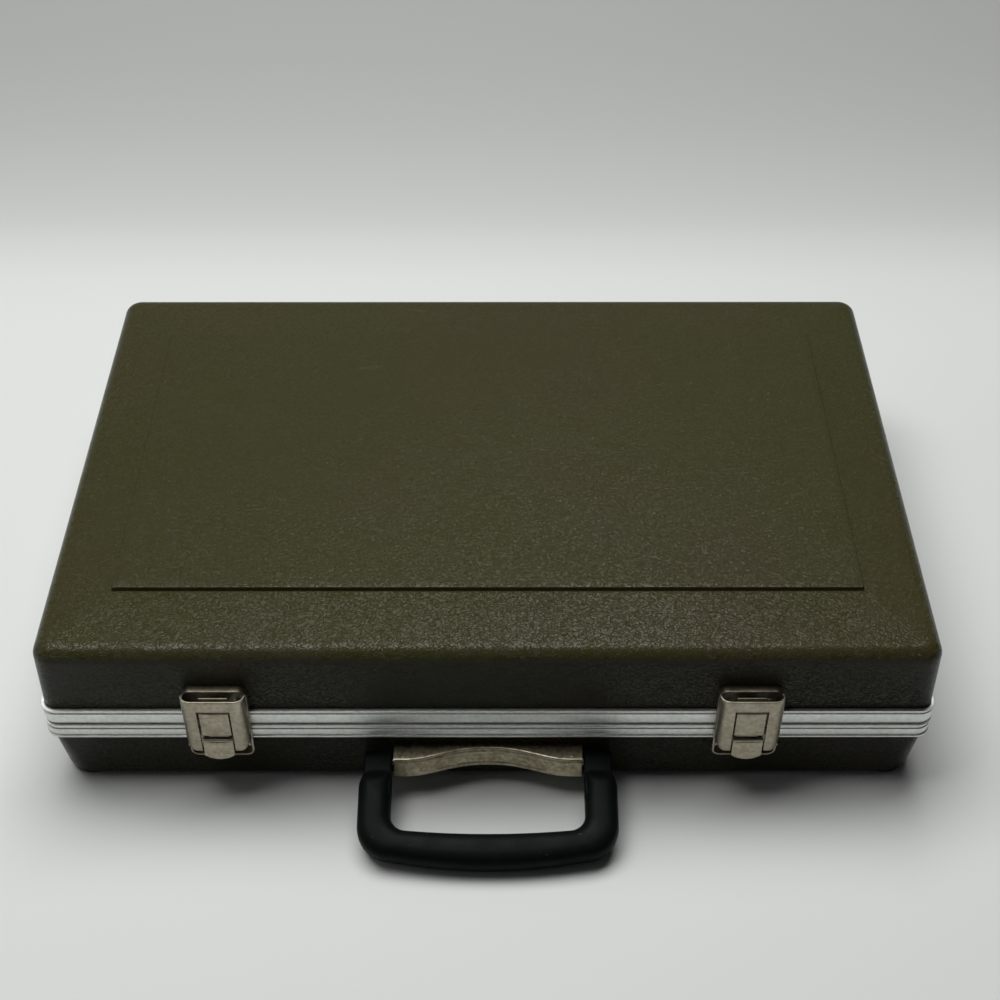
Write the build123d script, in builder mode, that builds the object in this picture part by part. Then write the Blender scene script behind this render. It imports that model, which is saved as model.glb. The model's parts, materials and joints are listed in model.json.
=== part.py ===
from build123d import *
from math import asin, atan, cos, radians, sin, sqrt, tan
import os

os.makedirs("parts", exist_ok=True)

# Attache case lying on its base, in millimetres.
# X runs along the front, left to right, -Y is the front with the handle and the latches, +Z is up.
# Pieces are drawn round the middle of the shells. They are saved round the middle of the whole outline,
# handle and hinges included. Height starts at the surface that the four feet stand on.

# Case
shell_width = 440.5
shell_depth = 288.5
case_height = 98.5
parting_height = 45.0
shell_wall = 2.6
shell_corner = 6.0

# Lid top: a raised panel inside a border that falls gently to the rolled edge
crown_corner = 10.0
lid_roll = 7.5
panel_width = 373.6
panel_depth = 206.9
panel_shift = 0.8
panel_step = 1.6
panel_corner = 1.0
panel_edge_round = 0.6
border_fall = 1.4

# Base tub: a drafted wall, corners that widen downwards and a rolled bottom edge
base_corner = 6.0
base_foot_corner = 10.0
base_setback = 0.5
base_draft = 3.4
valance_reveal = 0.5
base_roll = 5.0
flare_height = 2.5
foot_height = 1.0
foot_radius = 12.5
foot_inset = 16.5
foot_edge = 1.2

# Valances: the metal channels that close the shells' edges
valance_proud = 2.0
valance_web = 1.2
valance_leg = 1.0
valance_fit = 0.1
lid_valance_height = 10.8
base_valance_height = 9.5
parting_gap = 0.3
band_proud = 1.7
groove_proud = 1.1
toe_proud = 0.9
toe_height = 1.7
lip_height = 1.1
lip_groove_height = 1.4
bead_height = 1.0
bead_groove_height = 2.0
crease = 0.3
inner_leg_height = 8.0
base_inner_leg_height = 6.1
tongue_height = 3.0
tongue_wall = 1.0
tongue_clearance = 0.4
strip_joint_gap = 0.4

# Splice plates over the joint of each metal strip, at the middle of the back
splice_length = 26.0
splice_wall = 0.8
splice_edge_clearance = 0.3
splice_rivet_spacing = 17.0
splice_rivet_radius = 0.9
splice_rivet_head = 1.45

# Lining boards
liner_board = 1.0
liner_space = 3.0
liner_fit = 0.1
liner_flange_gap = 0.3
smallest_round = 1.0

# Rivets
rivet_radius = 1.5
rivet_head_radius = 2.2
rivet_head_height = 0.9
rivet_tail_height = 0.7
rivet_fit = 0.03
rivet_head_taper = 30.0
seat_gap = 0.05
cut_margin = 1.0

# Latches
latch_spacing = 262.5
latch_shift = -2.4
plate_width = 32.0
plate_wall = 1.0
plate_rim = 2.0
plate_corner = 4.5
catch_plate_height = 27.6
base_plate_height = 20.7
plate_split = 0.3
plate_rivet_spacing = 21.0
catch_rivet_height = 17.5
base_plate_rivet_drop = 15.8

# Draw hook frame
hasp_width = 30.0
hasp_wall = 1.1
hasp_front = 8.5
hasp_bend = 4.0
hasp_flange_depth = 3.6
hasp_top = 27.3
hasp_leg_drop = 8.8
hasp_leg_round = 4.5
hasp_boss_radius = 2.2
hasp_boss_height = 4.2
window_width = 16.0
window_top = 20.0

# Lever
lever_side_clearance = 0.3
lever_wall = 1.0
lever_pivot_depth = 5.6
lever_pivot_drop = 3.5
lever_top_rise = 2.8
lever_tip_drop = 15.0
lever_tip_flare = 0.9
lever_tip_round = 11.0
lever_bead_radius = 0.8
lever_boss_radius = 1.8
draw_arm = 4.8
draw_angle = 14.0
latch_pin_radius = 0.9
pin_clearance = 0.05
ear_wall = 1.0
ear_side_clearance = 0.3
ear_nose = 1.6
ear_root_radius = 1.2
ear_root_drop = 2.1
latch_pin_head = 1.4
latch_pin_head_height = 0.5

# Keeper: the bent strap on the lid that the hook frame draws down on
keeper_side_clearance = 0.3
keeper_wall = 1.0
keeper_recess = 0.4
keeper_foot = 0.8
keeper_panel_top = 19.2
keeper_lip_top = 25.0
keeper_lip_depth = 3.5
keeper_bend = 1.3

# Handle
handle_pivot_front = 3.9
handle_pivot_height = 21.0
handle_gap = 96.6
handle_width = 129.6
handle_reach = 56.7
handle_inner_reach = 39.3
handle_inner_bow = 1.6
handle_outer_bow = 4.6
handle_corner = 17.0
handle_inner_corner = 8.5
handle_thickness = 16.0
handle_round = 6.6
handle_tab_reach = 10.0
handle_tab_thickness = 11.0
handle_tab_width = 14.0
handle_shoulder = 8.5
handle_floor_gap = 0.05

# Handle bracket
bracket_length = 95.0
bracket_height = 15.0
bracket_top = 28.0
bracket_wall = 1.2
bracket_end_reach = 8.5
bracket_end_flat = 6.0
bracket_waist_reach = 1.0
bracket_quarter_reach = 2.8
bracket_quarter = 16.0
bracket_ridge_height = 1.3
bracket_step = 0.7
bracket_bead_step = 0.35
bracket_bead_height = 1.1
bracket_foot_length = 16.0
bracket_foot_wall = 1.5
bracket_rivet_spacing = 56.0
bracket_rivet_radius = 1.8
bracket_rivet_head = 3.2
bracket_dimple = 0.9
bracket_dimple_spacing = 85.0
bracket_dimple_setback = 2.4
handle_pin_radius = 1.7
handle_pin_head = 2.5
handle_pin_head_height = 1.0
handle_pin_depth = 9.0
backing_length = 88.0
backing_height = 14.0
backing_wall = 1.6

# Hinges
hinge_spacing = 250.0
hinge_width = 38.0
hinge_wall = 1.2
knuckle_radius = 2.6
knuckle_clearance = 0.3
hinge_pin_radius = 1.2
hinge_pin_head = 1.9
hinge_pin_head_height = 0.6
lid_leaf_height = 9.5
base_leaf_height = 8.4
centre_knuckle = 14.0
knuckle_side_gap = 0.2
hinge_rivet_spacing = 23.0
hinge_rivet_rise = 6.3
hinge_rivet_drop = 5.2
stop_reach = 8.0
stop_rise = 0.85
stop_wall = 1.5
stop_width = 3.5

# Levels and lines worked out from the sizes above
half_width = shell_width / 2
half_depth = shell_depth / 2
valance_face = half_depth + valance_proud
lid_valance_foot = parting_height + parting_gap / 2
lid_edge = lid_valance_foot + valance_web
lid_valance_top = parting_height + lid_valance_height
base_valance_head = parting_height - parting_gap / 2
base_edge = base_valance_head - valance_web
base_valance_foot = parting_height - base_valance_height
tub_top = base_valance_foot - valance_reveal
flare_top = tub_top + flare_height
inner_leg_line = shell_wall + valance_fit + valance_leg
tongue_line = inner_leg_line + tongue_clearance
border_height = case_height - panel_step - border_fall
panel_foot = case_height - panel_step
floor_level = foot_height
foot_x = half_width - base_setback - foot_inset
foot_y = half_depth - base_setback - foot_inset
latch_positions = {"left": latch_shift - latch_spacing / 2, "right": latch_shift + latch_spacing / 2}
hinge_positions = {"left": -hinge_spacing / 2, "right": hinge_spacing / 2}

# The handle slopes down from its pivots until the grip rests on the floor
handle_pivot_y = -(valance_face + handle_pivot_front)
grip_centre = handle_reach - handle_round
grip_half = handle_thickness / 2 - handle_round
rest_rise = handle_pivot_height - handle_round - handle_floor_gap
rest_angle = asin(rest_rise / sqrt(grip_centre**2 + grip_half**2)) - atan(grip_half / grip_centre)

# The whole outline runs from the grip's front to the ends of the hinges' stop ears
axis_offset = knuckle_radius + knuckle_clearance
grip_front = grip_centre * cos(rest_angle) + grip_half * sin(rest_angle) + handle_round
outline_front = handle_pivot_y - grip_front
outline_back = valance_face + axis_offset + stop_reach
outline_middle = (outline_front + outline_back) / 2

# Planes that pieces are drawn on. Across each, local X runs along the case and local Y runs up.
front_plane = Plane(origin=(0, -valance_face, 0), x_dir=(1, 0, 0), z_dir=(0, -1, 0))
back_plane = Plane(origin=(0, valance_face, 0), x_dir=(-1, 0, 0), z_dir=(0, 1, 0))
draft_angle = radians(base_draft)
front_wall_plane = Plane(
    origin=(0, -(half_depth - base_setback), tub_top),
    x_dir=(1, 0, 0),
    z_dir=(0, -cos(draft_angle), -sin(draft_angle)),
)


def side_plane(x):
    """Plane square to the front: local X is the distance in front of the valance, local Y is up"""
    return Plane(origin=(x, -valance_face, 0), x_dir=(0, -1, 0), z_dir=(-1, 0, 0))


def wall_height(z):
    """Height z measured along the drafted front wall, from the top of the tub"""
    return (z - tub_top) / cos(draft_angle)


def save(piece, name):
    placed = piece.part.moved(Location((0, -outline_middle, 0)))
    placed.label = name
    export_step(placed, "parts/" + name + ".step")


def outline(inset, corner):
    RectangleRounded(
        shell_width - 2 * inset, shell_depth - 2 * inset, max(corner - inset, smallest_round)
    )


def raised_panel(side, top, edge_round):
    """The border's gentle slope and the panel that stands on it"""
    with BuildPart() as raised:
        with BuildSketch(Plane.XY.offset(border_height - top)) as border:
            outline(side + max(lid_roll - side, smallest_round), crown_corner)
        with BuildSketch(Plane.XY.offset(panel_foot - top)) as panel:
            with Locations((0, panel_shift)):
                RectangleRounded(panel_width - 2 * side, panel_depth - 2 * side, panel_corner)
        loft([border.sketch, panel.sketch])
        extrude(panel.sketch, amount=panel_step)
        if edge_round:
            fillet(faces().sort_by(Axis.Z)[-1].edges(), radius=edge_round)
    return raised.part


def lid_form(bottom, side, top):
    """The lid's outside without its panel, pushed in by side at the walls and by top under the crown"""
    with BuildSketch(Plane.XY.offset(bottom)) as lower:
        outline(side, shell_corner)
    extrude(lower.sketch, amount=lid_valance_top - bottom)
    with BuildSketch(Plane.XY.offset(lid_valance_top)) as band:
        outline(side, shell_corner)
    with BuildSketch(Plane.XY.offset(border_height - top)) as crown:
        outline(side, crown_corner)
    loft([band.sketch, crown.sketch])
    fillet(faces().sort_by(Axis.Z)[-1].edges(), radius=max(lid_roll - side, smallest_round))


def tub_form(side, floor):
    """The drafted tub below the valance, pushed in by side at the walls and by floor at the bottom"""
    with BuildSketch(Plane.XY.offset(tub_top)) as rim:
        outline(base_setback + side, base_corner)
    with BuildSketch(Plane.XY.offset(floor_level + floor)) as bottom:
        drop = tub_top - floor_level - floor
        outline(base_setback + side + drop * tan(draft_angle), base_foot_corner)
    loft([bottom.sketch, rim.sketch])
    fillet(faces().sort_by(Axis.Z)[0].edges(), radius=max(base_roll - side, smallest_round))


def base_form(side, floor):
    """The tub with the flare and the upright band that the valance grips"""
    tub_form(side, floor)
    with BuildSketch(Plane.XY.offset(tub_top)) as tub_rim:
        outline(base_setback + side, base_corner)
    with BuildSketch(Plane.XY.offset(flare_top)) as band:
        outline(side, shell_corner)
    loft([tub_rim.sketch, band.sketch])
    extrude(band.sketch, amount=base_edge - flare_top)


def drill(plane, points, radius, outer, inner):
    with BuildSketch(plane.offset(inner)) as profile:
        with Locations(*points):
            Circle(radius)
    extrude(profile.sketch, amount=outer - inner, mode=Mode.SUBTRACT)


def rivets(plane, points, radius, head, outer, inner):
    """Round-headed rivets with a shank from the outer seat to the inner one"""
    with BuildSketch(plane.offset(inner)) as profile:
        with Locations(*points):
            Circle(radius)
    extrude(profile.sketch, amount=outer - inner)
    with BuildSketch(plane.offset(outer)) as profile:
        with Locations(*points):
            Circle(head)
    extrude(profile.sketch, amount=rivet_head_height, taper=rivet_head_taper)
    with BuildSketch(plane.offset(inner)) as profile:
        with Locations(*points):
            Circle(head)
    extrude(profile.sketch, amount=-rivet_tail_height)


def headed_pin(plane, point, radius, head, head_height, length):
    """A pin along the plane's normal, with a flat head beyond each end of its grip"""
    with BuildSketch(plane) as profile:
        with Locations(point):
            Circle(radius)
    extrude(profile.sketch, amount=length)
    for start in (-head_height, length):
        with BuildSketch(plane.offset(start)) as profile:
            with Locations(point):
                Circle(head)
        extrude(profile.sketch, amount=head_height)


# Places of the fixings, shared by every piece that they pass through
def catch_rivet_points(x):
    z = parting_height + catch_rivet_height
    return [(x - plate_rivet_spacing / 2, z), (x + plate_rivet_spacing / 2, z)]


def base_plate_rivet_points(x):
    z = wall_height(parting_height - base_plate_rivet_drop)
    return [(x - plate_rivet_spacing / 2, z), (x + plate_rivet_spacing / 2, z)]


def hinge_rivet_points(x, z):
    return [(-x - hinge_rivet_spacing / 2, z), (-x + hinge_rivet_spacing / 2, z)]


bracket_middle = bracket_top - bracket_height / 2
bracket_rivet_points = [
    (-bracket_rivet_spacing / 2, wall_height(bracket_middle)),
    (bracket_rivet_spacing / 2, wall_height(bracket_middle)),
]
lid_rivet_height = parting_height + hinge_rivet_rise
base_rivet_height = parting_height - hinge_rivet_drop
through_wall = shell_wall + 2 * valance_proud
rivet_bore = rivet_radius + rivet_fit
bracket_bore = bracket_rivet_radius + rivet_fit
splice_bore = splice_rivet_radius + rivet_fit

# Shells
with BuildPart() as lid_core:
    lid_form(lid_edge, shell_wall, shell_wall)
    add(raised_panel(shell_wall, shell_wall, 0))

with BuildPart() as lid_shell:
    lid_form(lid_edge, 0, 0)
    add(raised_panel(0, 0, panel_edge_round))
    add(lid_core.part, mode=Mode.SUBTRACT)
    for x in latch_positions.values():
        drill(front_plane, catch_rivet_points(x), rivet_bore, 0, -through_wall)
    for x in hinge_positions.values():
        drill(back_plane, hinge_rivet_points(x, lid_rivet_height), rivet_bore, 0, -through_wall)
save(lid_shell, "lid_shell")

with BuildPart() as base_core:
    base_form(shell_wall, shell_wall)

with BuildPart() as base_envelope:
    tub_form(-seat_gap, -seat_gap)

with BuildPart() as base_shell:
    base_form(0, 0)
    with BuildSketch(Plane.XY):
        with GridLocations(2 * foot_x, 2 * foot_y, 2, 2):
            Circle(foot_radius)
    extrude(amount=foot_height + base_roll / 2)
    fillet(faces().filter_by(Plane.XY).group_by(Axis.Z)[0].edges(), radius=foot_edge)
    add(base_core.part, mode=Mode.SUBTRACT)
    for x in latch_positions.values():
        drill(front_wall_plane, base_plate_rivet_points(x), rivet_bore, cut_margin, -through_wall)
    drill(front_wall_plane, bracket_rivet_points, bracket_bore, cut_margin, -through_wall)
    for x in hinge_positions.values():
        drill(back_plane, hinge_rivet_points(x, base_rivet_height), rivet_bore, 0, -through_wall)
save(base_shell, "base_shell")


def lid_valance_section():
    """Cross-section of the lid's channel: distance out from the shell's face, then height"""
    band_foot = lid_valance_foot + toe_height
    lip_foot = lid_valance_top - lip_height
    groove_foot = lip_foot - lip_groove_height
    leg_top = lid_edge + inner_leg_height
    return [
        (-inner_leg_line, lid_valance_foot),
        (toe_proud, lid_valance_foot),
        (toe_proud, band_foot),
        (band_proud, band_foot + crease),
        (band_proud, groove_foot - crease),
        (groove_proud, groove_foot),
        (groove_proud, lip_foot - crease),
        (valance_proud, lip_foot),
        (valance_proud, lid_valance_top - crease),
        (valance_proud - crease, lid_valance_top),
        (valance_fit, lid_valance_top),
        (valance_fit, lid_edge),
        (-shell_wall - valance_fit, lid_edge),
        (-shell_wall - valance_fit, leg_top),
        (-inner_leg_line, leg_top),
    ]


def base_valance_section():
    """Cross-section of the base's channel, with the tongue that enters behind the lid's inner leg"""
    bead_foot = base_valance_head - bead_height
    band_top = bead_foot - bead_groove_height
    lip_top = base_valance_foot + lip_height
    band_foot = lip_top + lip_groove_height
    leg_foot = base_edge - base_inner_leg_height
    tongue_top = base_valance_head + tongue_height
    return [
        (-tongue_line, base_valance_head),
        (valance_proud - crease, base_valance_head),
        (valance_proud, base_valance_head - crease),
        (valance_proud, bead_foot),
        (groove_proud, bead_foot - crease),
        (groove_proud, band_top),
        (band_proud, band_top - crease),
        (band_proud, band_foot),
        (groove_proud, band_foot - crease),
        (groove_proud, lip_top + crease),
        (valance_proud, lip_top),
        (valance_proud, base_valance_foot + crease),
        (valance_proud - crease, base_valance_foot),
        (valance_fit, base_valance_foot),
        (valance_fit, base_edge),
        (-shell_wall - valance_fit, base_edge),
        (-shell_wall - valance_fit, leg_foot),
        (-inner_leg_line, leg_foot),
        (-inner_leg_line, base_edge),
        (-tongue_line - tongue_wall, base_edge),
        (-tongue_line - tongue_wall, tongue_top),
        (-tongue_line, tongue_top),
    ]


def valance_ring(section):
    """The section carried round the shell from one side of the rear joint to the other"""
    with BuildLine() as route:
        FilletPolyline(
            (strip_joint_gap / 2, half_depth),
            (half_width, half_depth),
            (half_width, -half_depth),
            (-half_width, -half_depth),
            (-half_width, half_depth),
            (-strip_joint_gap / 2, half_depth),
            radius=shell_corner,
        )
    start = Plane(origin=(strip_joint_gap / 2, half_depth, 0), x_dir=(0, 1, 0), z_dir=(1, 0, 0))
    with BuildSketch(start) as profile:
        with BuildLine():
            Polyline(*section, close=True)
        make_face()
    sweep(profile.sketch, path=route.wire())


splice_rivet_points = [(-splice_rivet_spacing / 2, 0), (splice_rivet_spacing / 2, 0)]
lid_band_low = lid_valance_foot + toe_height + crease
lid_band_high = lid_valance_top - lip_height - lip_groove_height - crease
base_band_low = base_valance_foot + lip_height + lip_groove_height
base_band_high = base_valance_head - bead_height - bead_groove_height - crease


def splice_plane(low, high):
    return Plane(
        origin=(0, half_depth + band_proud, (low + high) / 2), x_dir=(-1, 0, 0), z_dir=(0, 1, 0)
    )


lid_splice_plane = splice_plane(lid_band_low, lid_band_high)
base_splice_plane = splice_plane(base_band_low, base_band_high)

with BuildPart() as lid_valance:
    valance_ring(lid_valance_section())
    for x in hinge_positions.values():
        drill(back_plane, hinge_rivet_points(x, lid_rivet_height), rivet_bore, 0, -through_wall)
    drill(lid_splice_plane, splice_rivet_points, splice_bore, cut_margin, -band_proud)
save(lid_valance, "lid_valance")

with BuildPart() as base_valance:
    valance_ring(base_valance_section())
    for x in hinge_positions.values():
        drill(back_plane, hinge_rivet_points(x, base_rivet_height), rivet_bore, 0, -through_wall)
    drill(base_splice_plane, splice_rivet_points, splice_bore, cut_margin, -band_proud)
save(base_valance, "base_valance")


def splice_plate(plane, height):
    with BuildSketch(plane) as profile:
        Rectangle(splice_length, height)
    extrude(profile.sketch, amount=splice_wall)
    chamfer(faces().sort_by(Axis.Y)[-1].edges(), length=splice_wall / 3)
    drill(plane, splice_rivet_points, splice_bore, splice_wall, 0)


def splice_rivets(plane):
    """Blind rivets: their tails stop short of the shell's face"""
    with BuildSketch(plane.offset(valance_fit - band_proud)) as profile:
        with Locations(*splice_rivet_points):
            Circle(splice_rivet_radius)
    extrude(profile.sketch, amount=band_proud - valance_fit + splice_wall)
    with BuildSketch(plane.offset(splice_wall)) as profile:
        with Locations(*splice_rivet_points):
            Circle(splice_rivet_head)
    extrude(profile.sketch, amount=splice_wall / 2, taper=rivet_head_taper)


with BuildPart() as lid_splice_plate:
    splice_plate(lid_splice_plane, lid_band_high - lid_band_low - splice_edge_clearance)
save(lid_splice_plate, "lid_splice_plate")

with BuildPart() as base_splice_plate:
    splice_plate(base_splice_plane, base_band_high - base_band_low - splice_edge_clearance)
save(base_splice_plate, "base_splice_plate")

with BuildPart() as lid_splice_rivets:
    splice_rivets(lid_splice_plane)
save(lid_splice_rivets, "lid_splice_rivets")

with BuildPart() as base_splice_rivets:
    splice_rivets(base_splice_plane)
save(base_splice_rivets, "base_splice_rivets")

# Lining boards: trays that stand off the walls, so that the rivets' tails are hidden behind them
liner_side = shell_wall + liner_space
liner_foot = lid_edge + inner_leg_height + 2 * liner_fit

with BuildPart() as lid_liner_core:
    lid_form(liner_foot, liner_side + liner_board, shell_wall + liner_fit + liner_board)

with BuildPart() as lid_liner:
    lid_form(liner_foot, liner_side, shell_wall + liner_fit)
    with BuildSketch(Plane.XY.offset(liner_foot)):
        flange_side = shell_wall + liner_flange_gap
        outline(flange_side, shell_corner)
    extrude(amount=liner_board)
    add(lid_liner_core.part, mode=Mode.SUBTRACT)
save(lid_liner, "lid_liner")

with BuildPart() as base_liner_core:
    tub_form(liner_side + liner_board, shell_wall + liner_fit + liner_board)

with BuildPart() as base_liner:
    tub_form(liner_side, shell_wall + liner_fit)
    with BuildSketch(Plane(origin=(0, 0, tub_top), x_dir=(1, 0, 0), z_dir=(0, 0, -1))):
        flange_side = shell_wall + liner_flange_gap
        outline(base_setback + flange_side, base_corner)
    extrude(amount=liner_board, taper=base_draft)
    add(base_liner_core.part, mode=Mode.SUBTRACT)
save(base_liner, "base_liner")

# Latch plates
catch_plate_foot = parting_height + plate_split
catch_plate_top = parting_height + catch_plate_height + plate_split
base_plate_head = parting_height - plate_split
base_plate_foot = base_plate_head - base_plate_height
catch_step = lid_valance_top + plate_split
base_step = tub_top


def plate_outline(x, low, high, half, corner, rounded_end):
    """An upright plate whose two corners at one end are rounded: 0 is the lower end, -1 the upper"""
    with Locations((x, (low + high) / 2)):
        Rectangle(2 * half, high - low)
    fillet(vertices().group_by(Axis.Y)[rounded_end], radius=corner)


# The latch's pivots, as distance in front of the valance and height
lever_pivot_height = parting_height - lever_pivot_drop
draw_depth = lever_pivot_depth - draw_arm * sin(radians(draw_angle))
draw_height = lever_pivot_height - draw_arm * cos(radians(draw_angle))
lever_half = window_width / 2 - lever_side_clearance
ear_centre = lever_half - lever_wall - ear_side_clearance - ear_wall / 2
lever_tip = parting_height - lever_tip_drop
lever_top = lever_pivot_height + lever_top_rise
hasp_inside = hasp_front - hasp_wall
plate_half = plate_width / 2
pocket_half = plate_half - plate_wall
pocket_corner = plate_corner - plate_wall


def catch_plate(x):
    """A stamped plate over the lid valance that steps back to the lid's wall, with a raised rim"""
    with BuildSketch(front_plane.offset(seat_gap - valance_proud)) as profile:
        plate_outline(x, catch_plate_foot, catch_plate_top, plate_half, plate_corner, -1)
    extrude(profile.sketch, amount=valance_proud + plate_rim - seat_gap)
    with BuildSketch(front_plane.offset(plate_wall)) as profile:
        low = catch_plate_foot - cut_margin
        plate_outline(x, low, catch_plate_top - plate_wall, pocket_half, pocket_corner, -1)
    extrude(profile.sketch, amount=plate_rim, mode=Mode.SUBTRACT)
    with BuildSketch(front_plane.offset(plate_wall + seat_gap - valance_proud)) as profile:
        plate_outline(
            x, catch_step + plate_wall, catch_plate_top - plate_wall, pocket_half, pocket_corner, -1
        )
    extrude(profile.sketch, amount=valance_proud, mode=Mode.SUBTRACT)
    with BuildSketch(front_plane) as profile:
        with Locations((x, catch_step)):
            Rectangle(2 * plate_width, 2 * lid_valance_height, align=(Align.CENTER, Align.MAX))
    extrude(profile.sketch, amount=-2 * valance_proud, mode=Mode.SUBTRACT)
    drill(front_plane, catch_rivet_points(x), rivet_bore, plate_wall, -2 * valance_proud)


def base_plate(x):
    """The matching plate on the base, with the two ears that carry the lever"""
    reach_back = valance_proud + base_roll / 2
    with BuildSketch(front_plane.offset(-reach_back)) as profile:
        plate_outline(x, base_plate_foot, base_plate_head, plate_half, plate_corner, 0)
    extrude(profile.sketch, amount=reach_back + plate_rim)
    with BuildSketch(front_plane.offset(plate_wall)) as profile:
        high = base_plate_head + cut_margin
        plate_outline(x, base_plate_foot + plate_wall, high, pocket_half, pocket_corner, 0)
    extrude(profile.sketch, amount=plate_rim, mode=Mode.SUBTRACT)
    with BuildSketch(front_wall_plane.offset(seat_gap + plate_wall)) as profile:
        low = wall_height(base_plate_foot + plate_wall)
        high = wall_height(base_step - plate_wall)
        plate_outline(x, low, high, pocket_half, pocket_corner, 0)
    extrude(profile.sketch, amount=2 * valance_proud, mode=Mode.SUBTRACT)
    with BuildSketch(front_plane) as profile:
        with Locations((x, base_step)):
            Rectangle(2 * plate_width, 2 * base_valance_height, align=(Align.CENTER, Align.MIN))
    extrude(profile.sketch, amount=-2 * reach_back, mode=Mode.SUBTRACT)
    add(base_envelope.part, mode=Mode.SUBTRACT)
    for side in (-1, 1):
        with BuildSketch(side_plane(x + side * ear_centre + ear_wall / 2)) as profile:
            with Locations((lever_pivot_depth, lever_pivot_height)):
                Circle(ear_nose)
            with Locations((plate_wall / 2, lever_pivot_height - ear_root_drop)):
                Circle(ear_root_radius)
            make_hull()
            with Locations((0, lever_pivot_height)):
                Rectangle(plate_width, plate_width, align=(Align.MAX, Align.CENTER), mode=Mode.SUBTRACT)
            with Locations((lever_pivot_depth, lever_pivot_height)):
                Circle(latch_pin_radius + rivet_fit, mode=Mode.SUBTRACT)
        extrude(profile.sketch, amount=ear_wall)
    drill(front_wall_plane, base_plate_rivet_points(x), rivet_bore, plate_wall + cut_margin, -cut_margin)


def keeper(x):
    """A strap bent forward from the lid's plate, up behind the hook frame's window and back to a lip"""
    half = window_width / 2 - keeper_side_clearance
    front = hasp_inside - keeper_recess - keeper_wall / 2
    foot = catch_plate_foot + keeper_foot - plate_split
    back = plate_wall + keeper_wall / 2
    with BuildSketch(side_plane(x + half)) as profile:
        with BuildLine():
            line = FilletPolyline(
                (back, catch_step),
                (back, foot + keeper_wall / 2),
                (front, foot + keeper_wall / 2),
                (front, parting_height + keeper_panel_top - keeper_bend),
                (keeper_lip_depth, parting_height + keeper_panel_top + keeper_bend),
                (keeper_lip_depth, parting_height + keeper_lip_top),
                radius=keeper_bend,
            )
        trace(line, line_width=keeper_wall)
    extrude(profile.sketch, amount=2 * half)


def lever(x):
    """A pressed lever: a front skin with a rolled bead and a flared lip, and two cheeks for the pins"""
    skin_back = hasp_front - lever_wall
    with BuildSketch(side_plane(x + lever_half)) as profile:
        with BuildLine():
            Polyline(
                (hasp_front, lever_top),
                (hasp_front, draw_height),
                (hasp_front + lever_tip_flare, lever_tip),
                (skin_back + lever_tip_flare, lever_tip),
                (skin_back, draw_height),
                (skin_back, lever_top),
                close=True,
            )
        make_face()
        with Locations((hasp_front - lever_bead_radius / 2, lever_top - lever_bead_radius)):
            Circle(lever_bead_radius)
    extrude(profile.sketch, amount=2 * lever_half)
    for start in (lever_half, lever_wall - lever_half):
        with BuildSketch(side_plane(x + start)) as profile:
            with Locations((lever_pivot_depth, lever_pivot_height), (draw_depth, draw_height)):
                Circle(lever_boss_radius)
            with Locations((skin_back, lever_pivot_height), (skin_back, draw_height - lever_boss_radius)):
                Circle(lever_wall / 2)
            make_hull()
        extrude(profile.sketch, amount=lever_wall)
    with BuildSketch(side_plane(x + lever_half)) as profile:
        with Locations((lever_pivot_depth, lever_pivot_height), (draw_depth, draw_height)):
            Circle(latch_pin_radius + pin_clearance)
    extrude(profile.sketch, amount=2 * lever_half, mode=Mode.SUBTRACT)
    with BuildSketch(front_plane) as profile:
        with Locations((x, lever_tip + lever_tip_round)):
            Circle(lever_tip_round)
        with Locations((x, lever_tip + lever_tip_round / 2)):
            Rectangle(3 * lever_half, 3 * lever_tip_round, align=(Align.CENTER, Align.MIN))
    extrude(profile.sketch, amount=2 * hasp_front, mode=Mode.INTERSECT)


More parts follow.
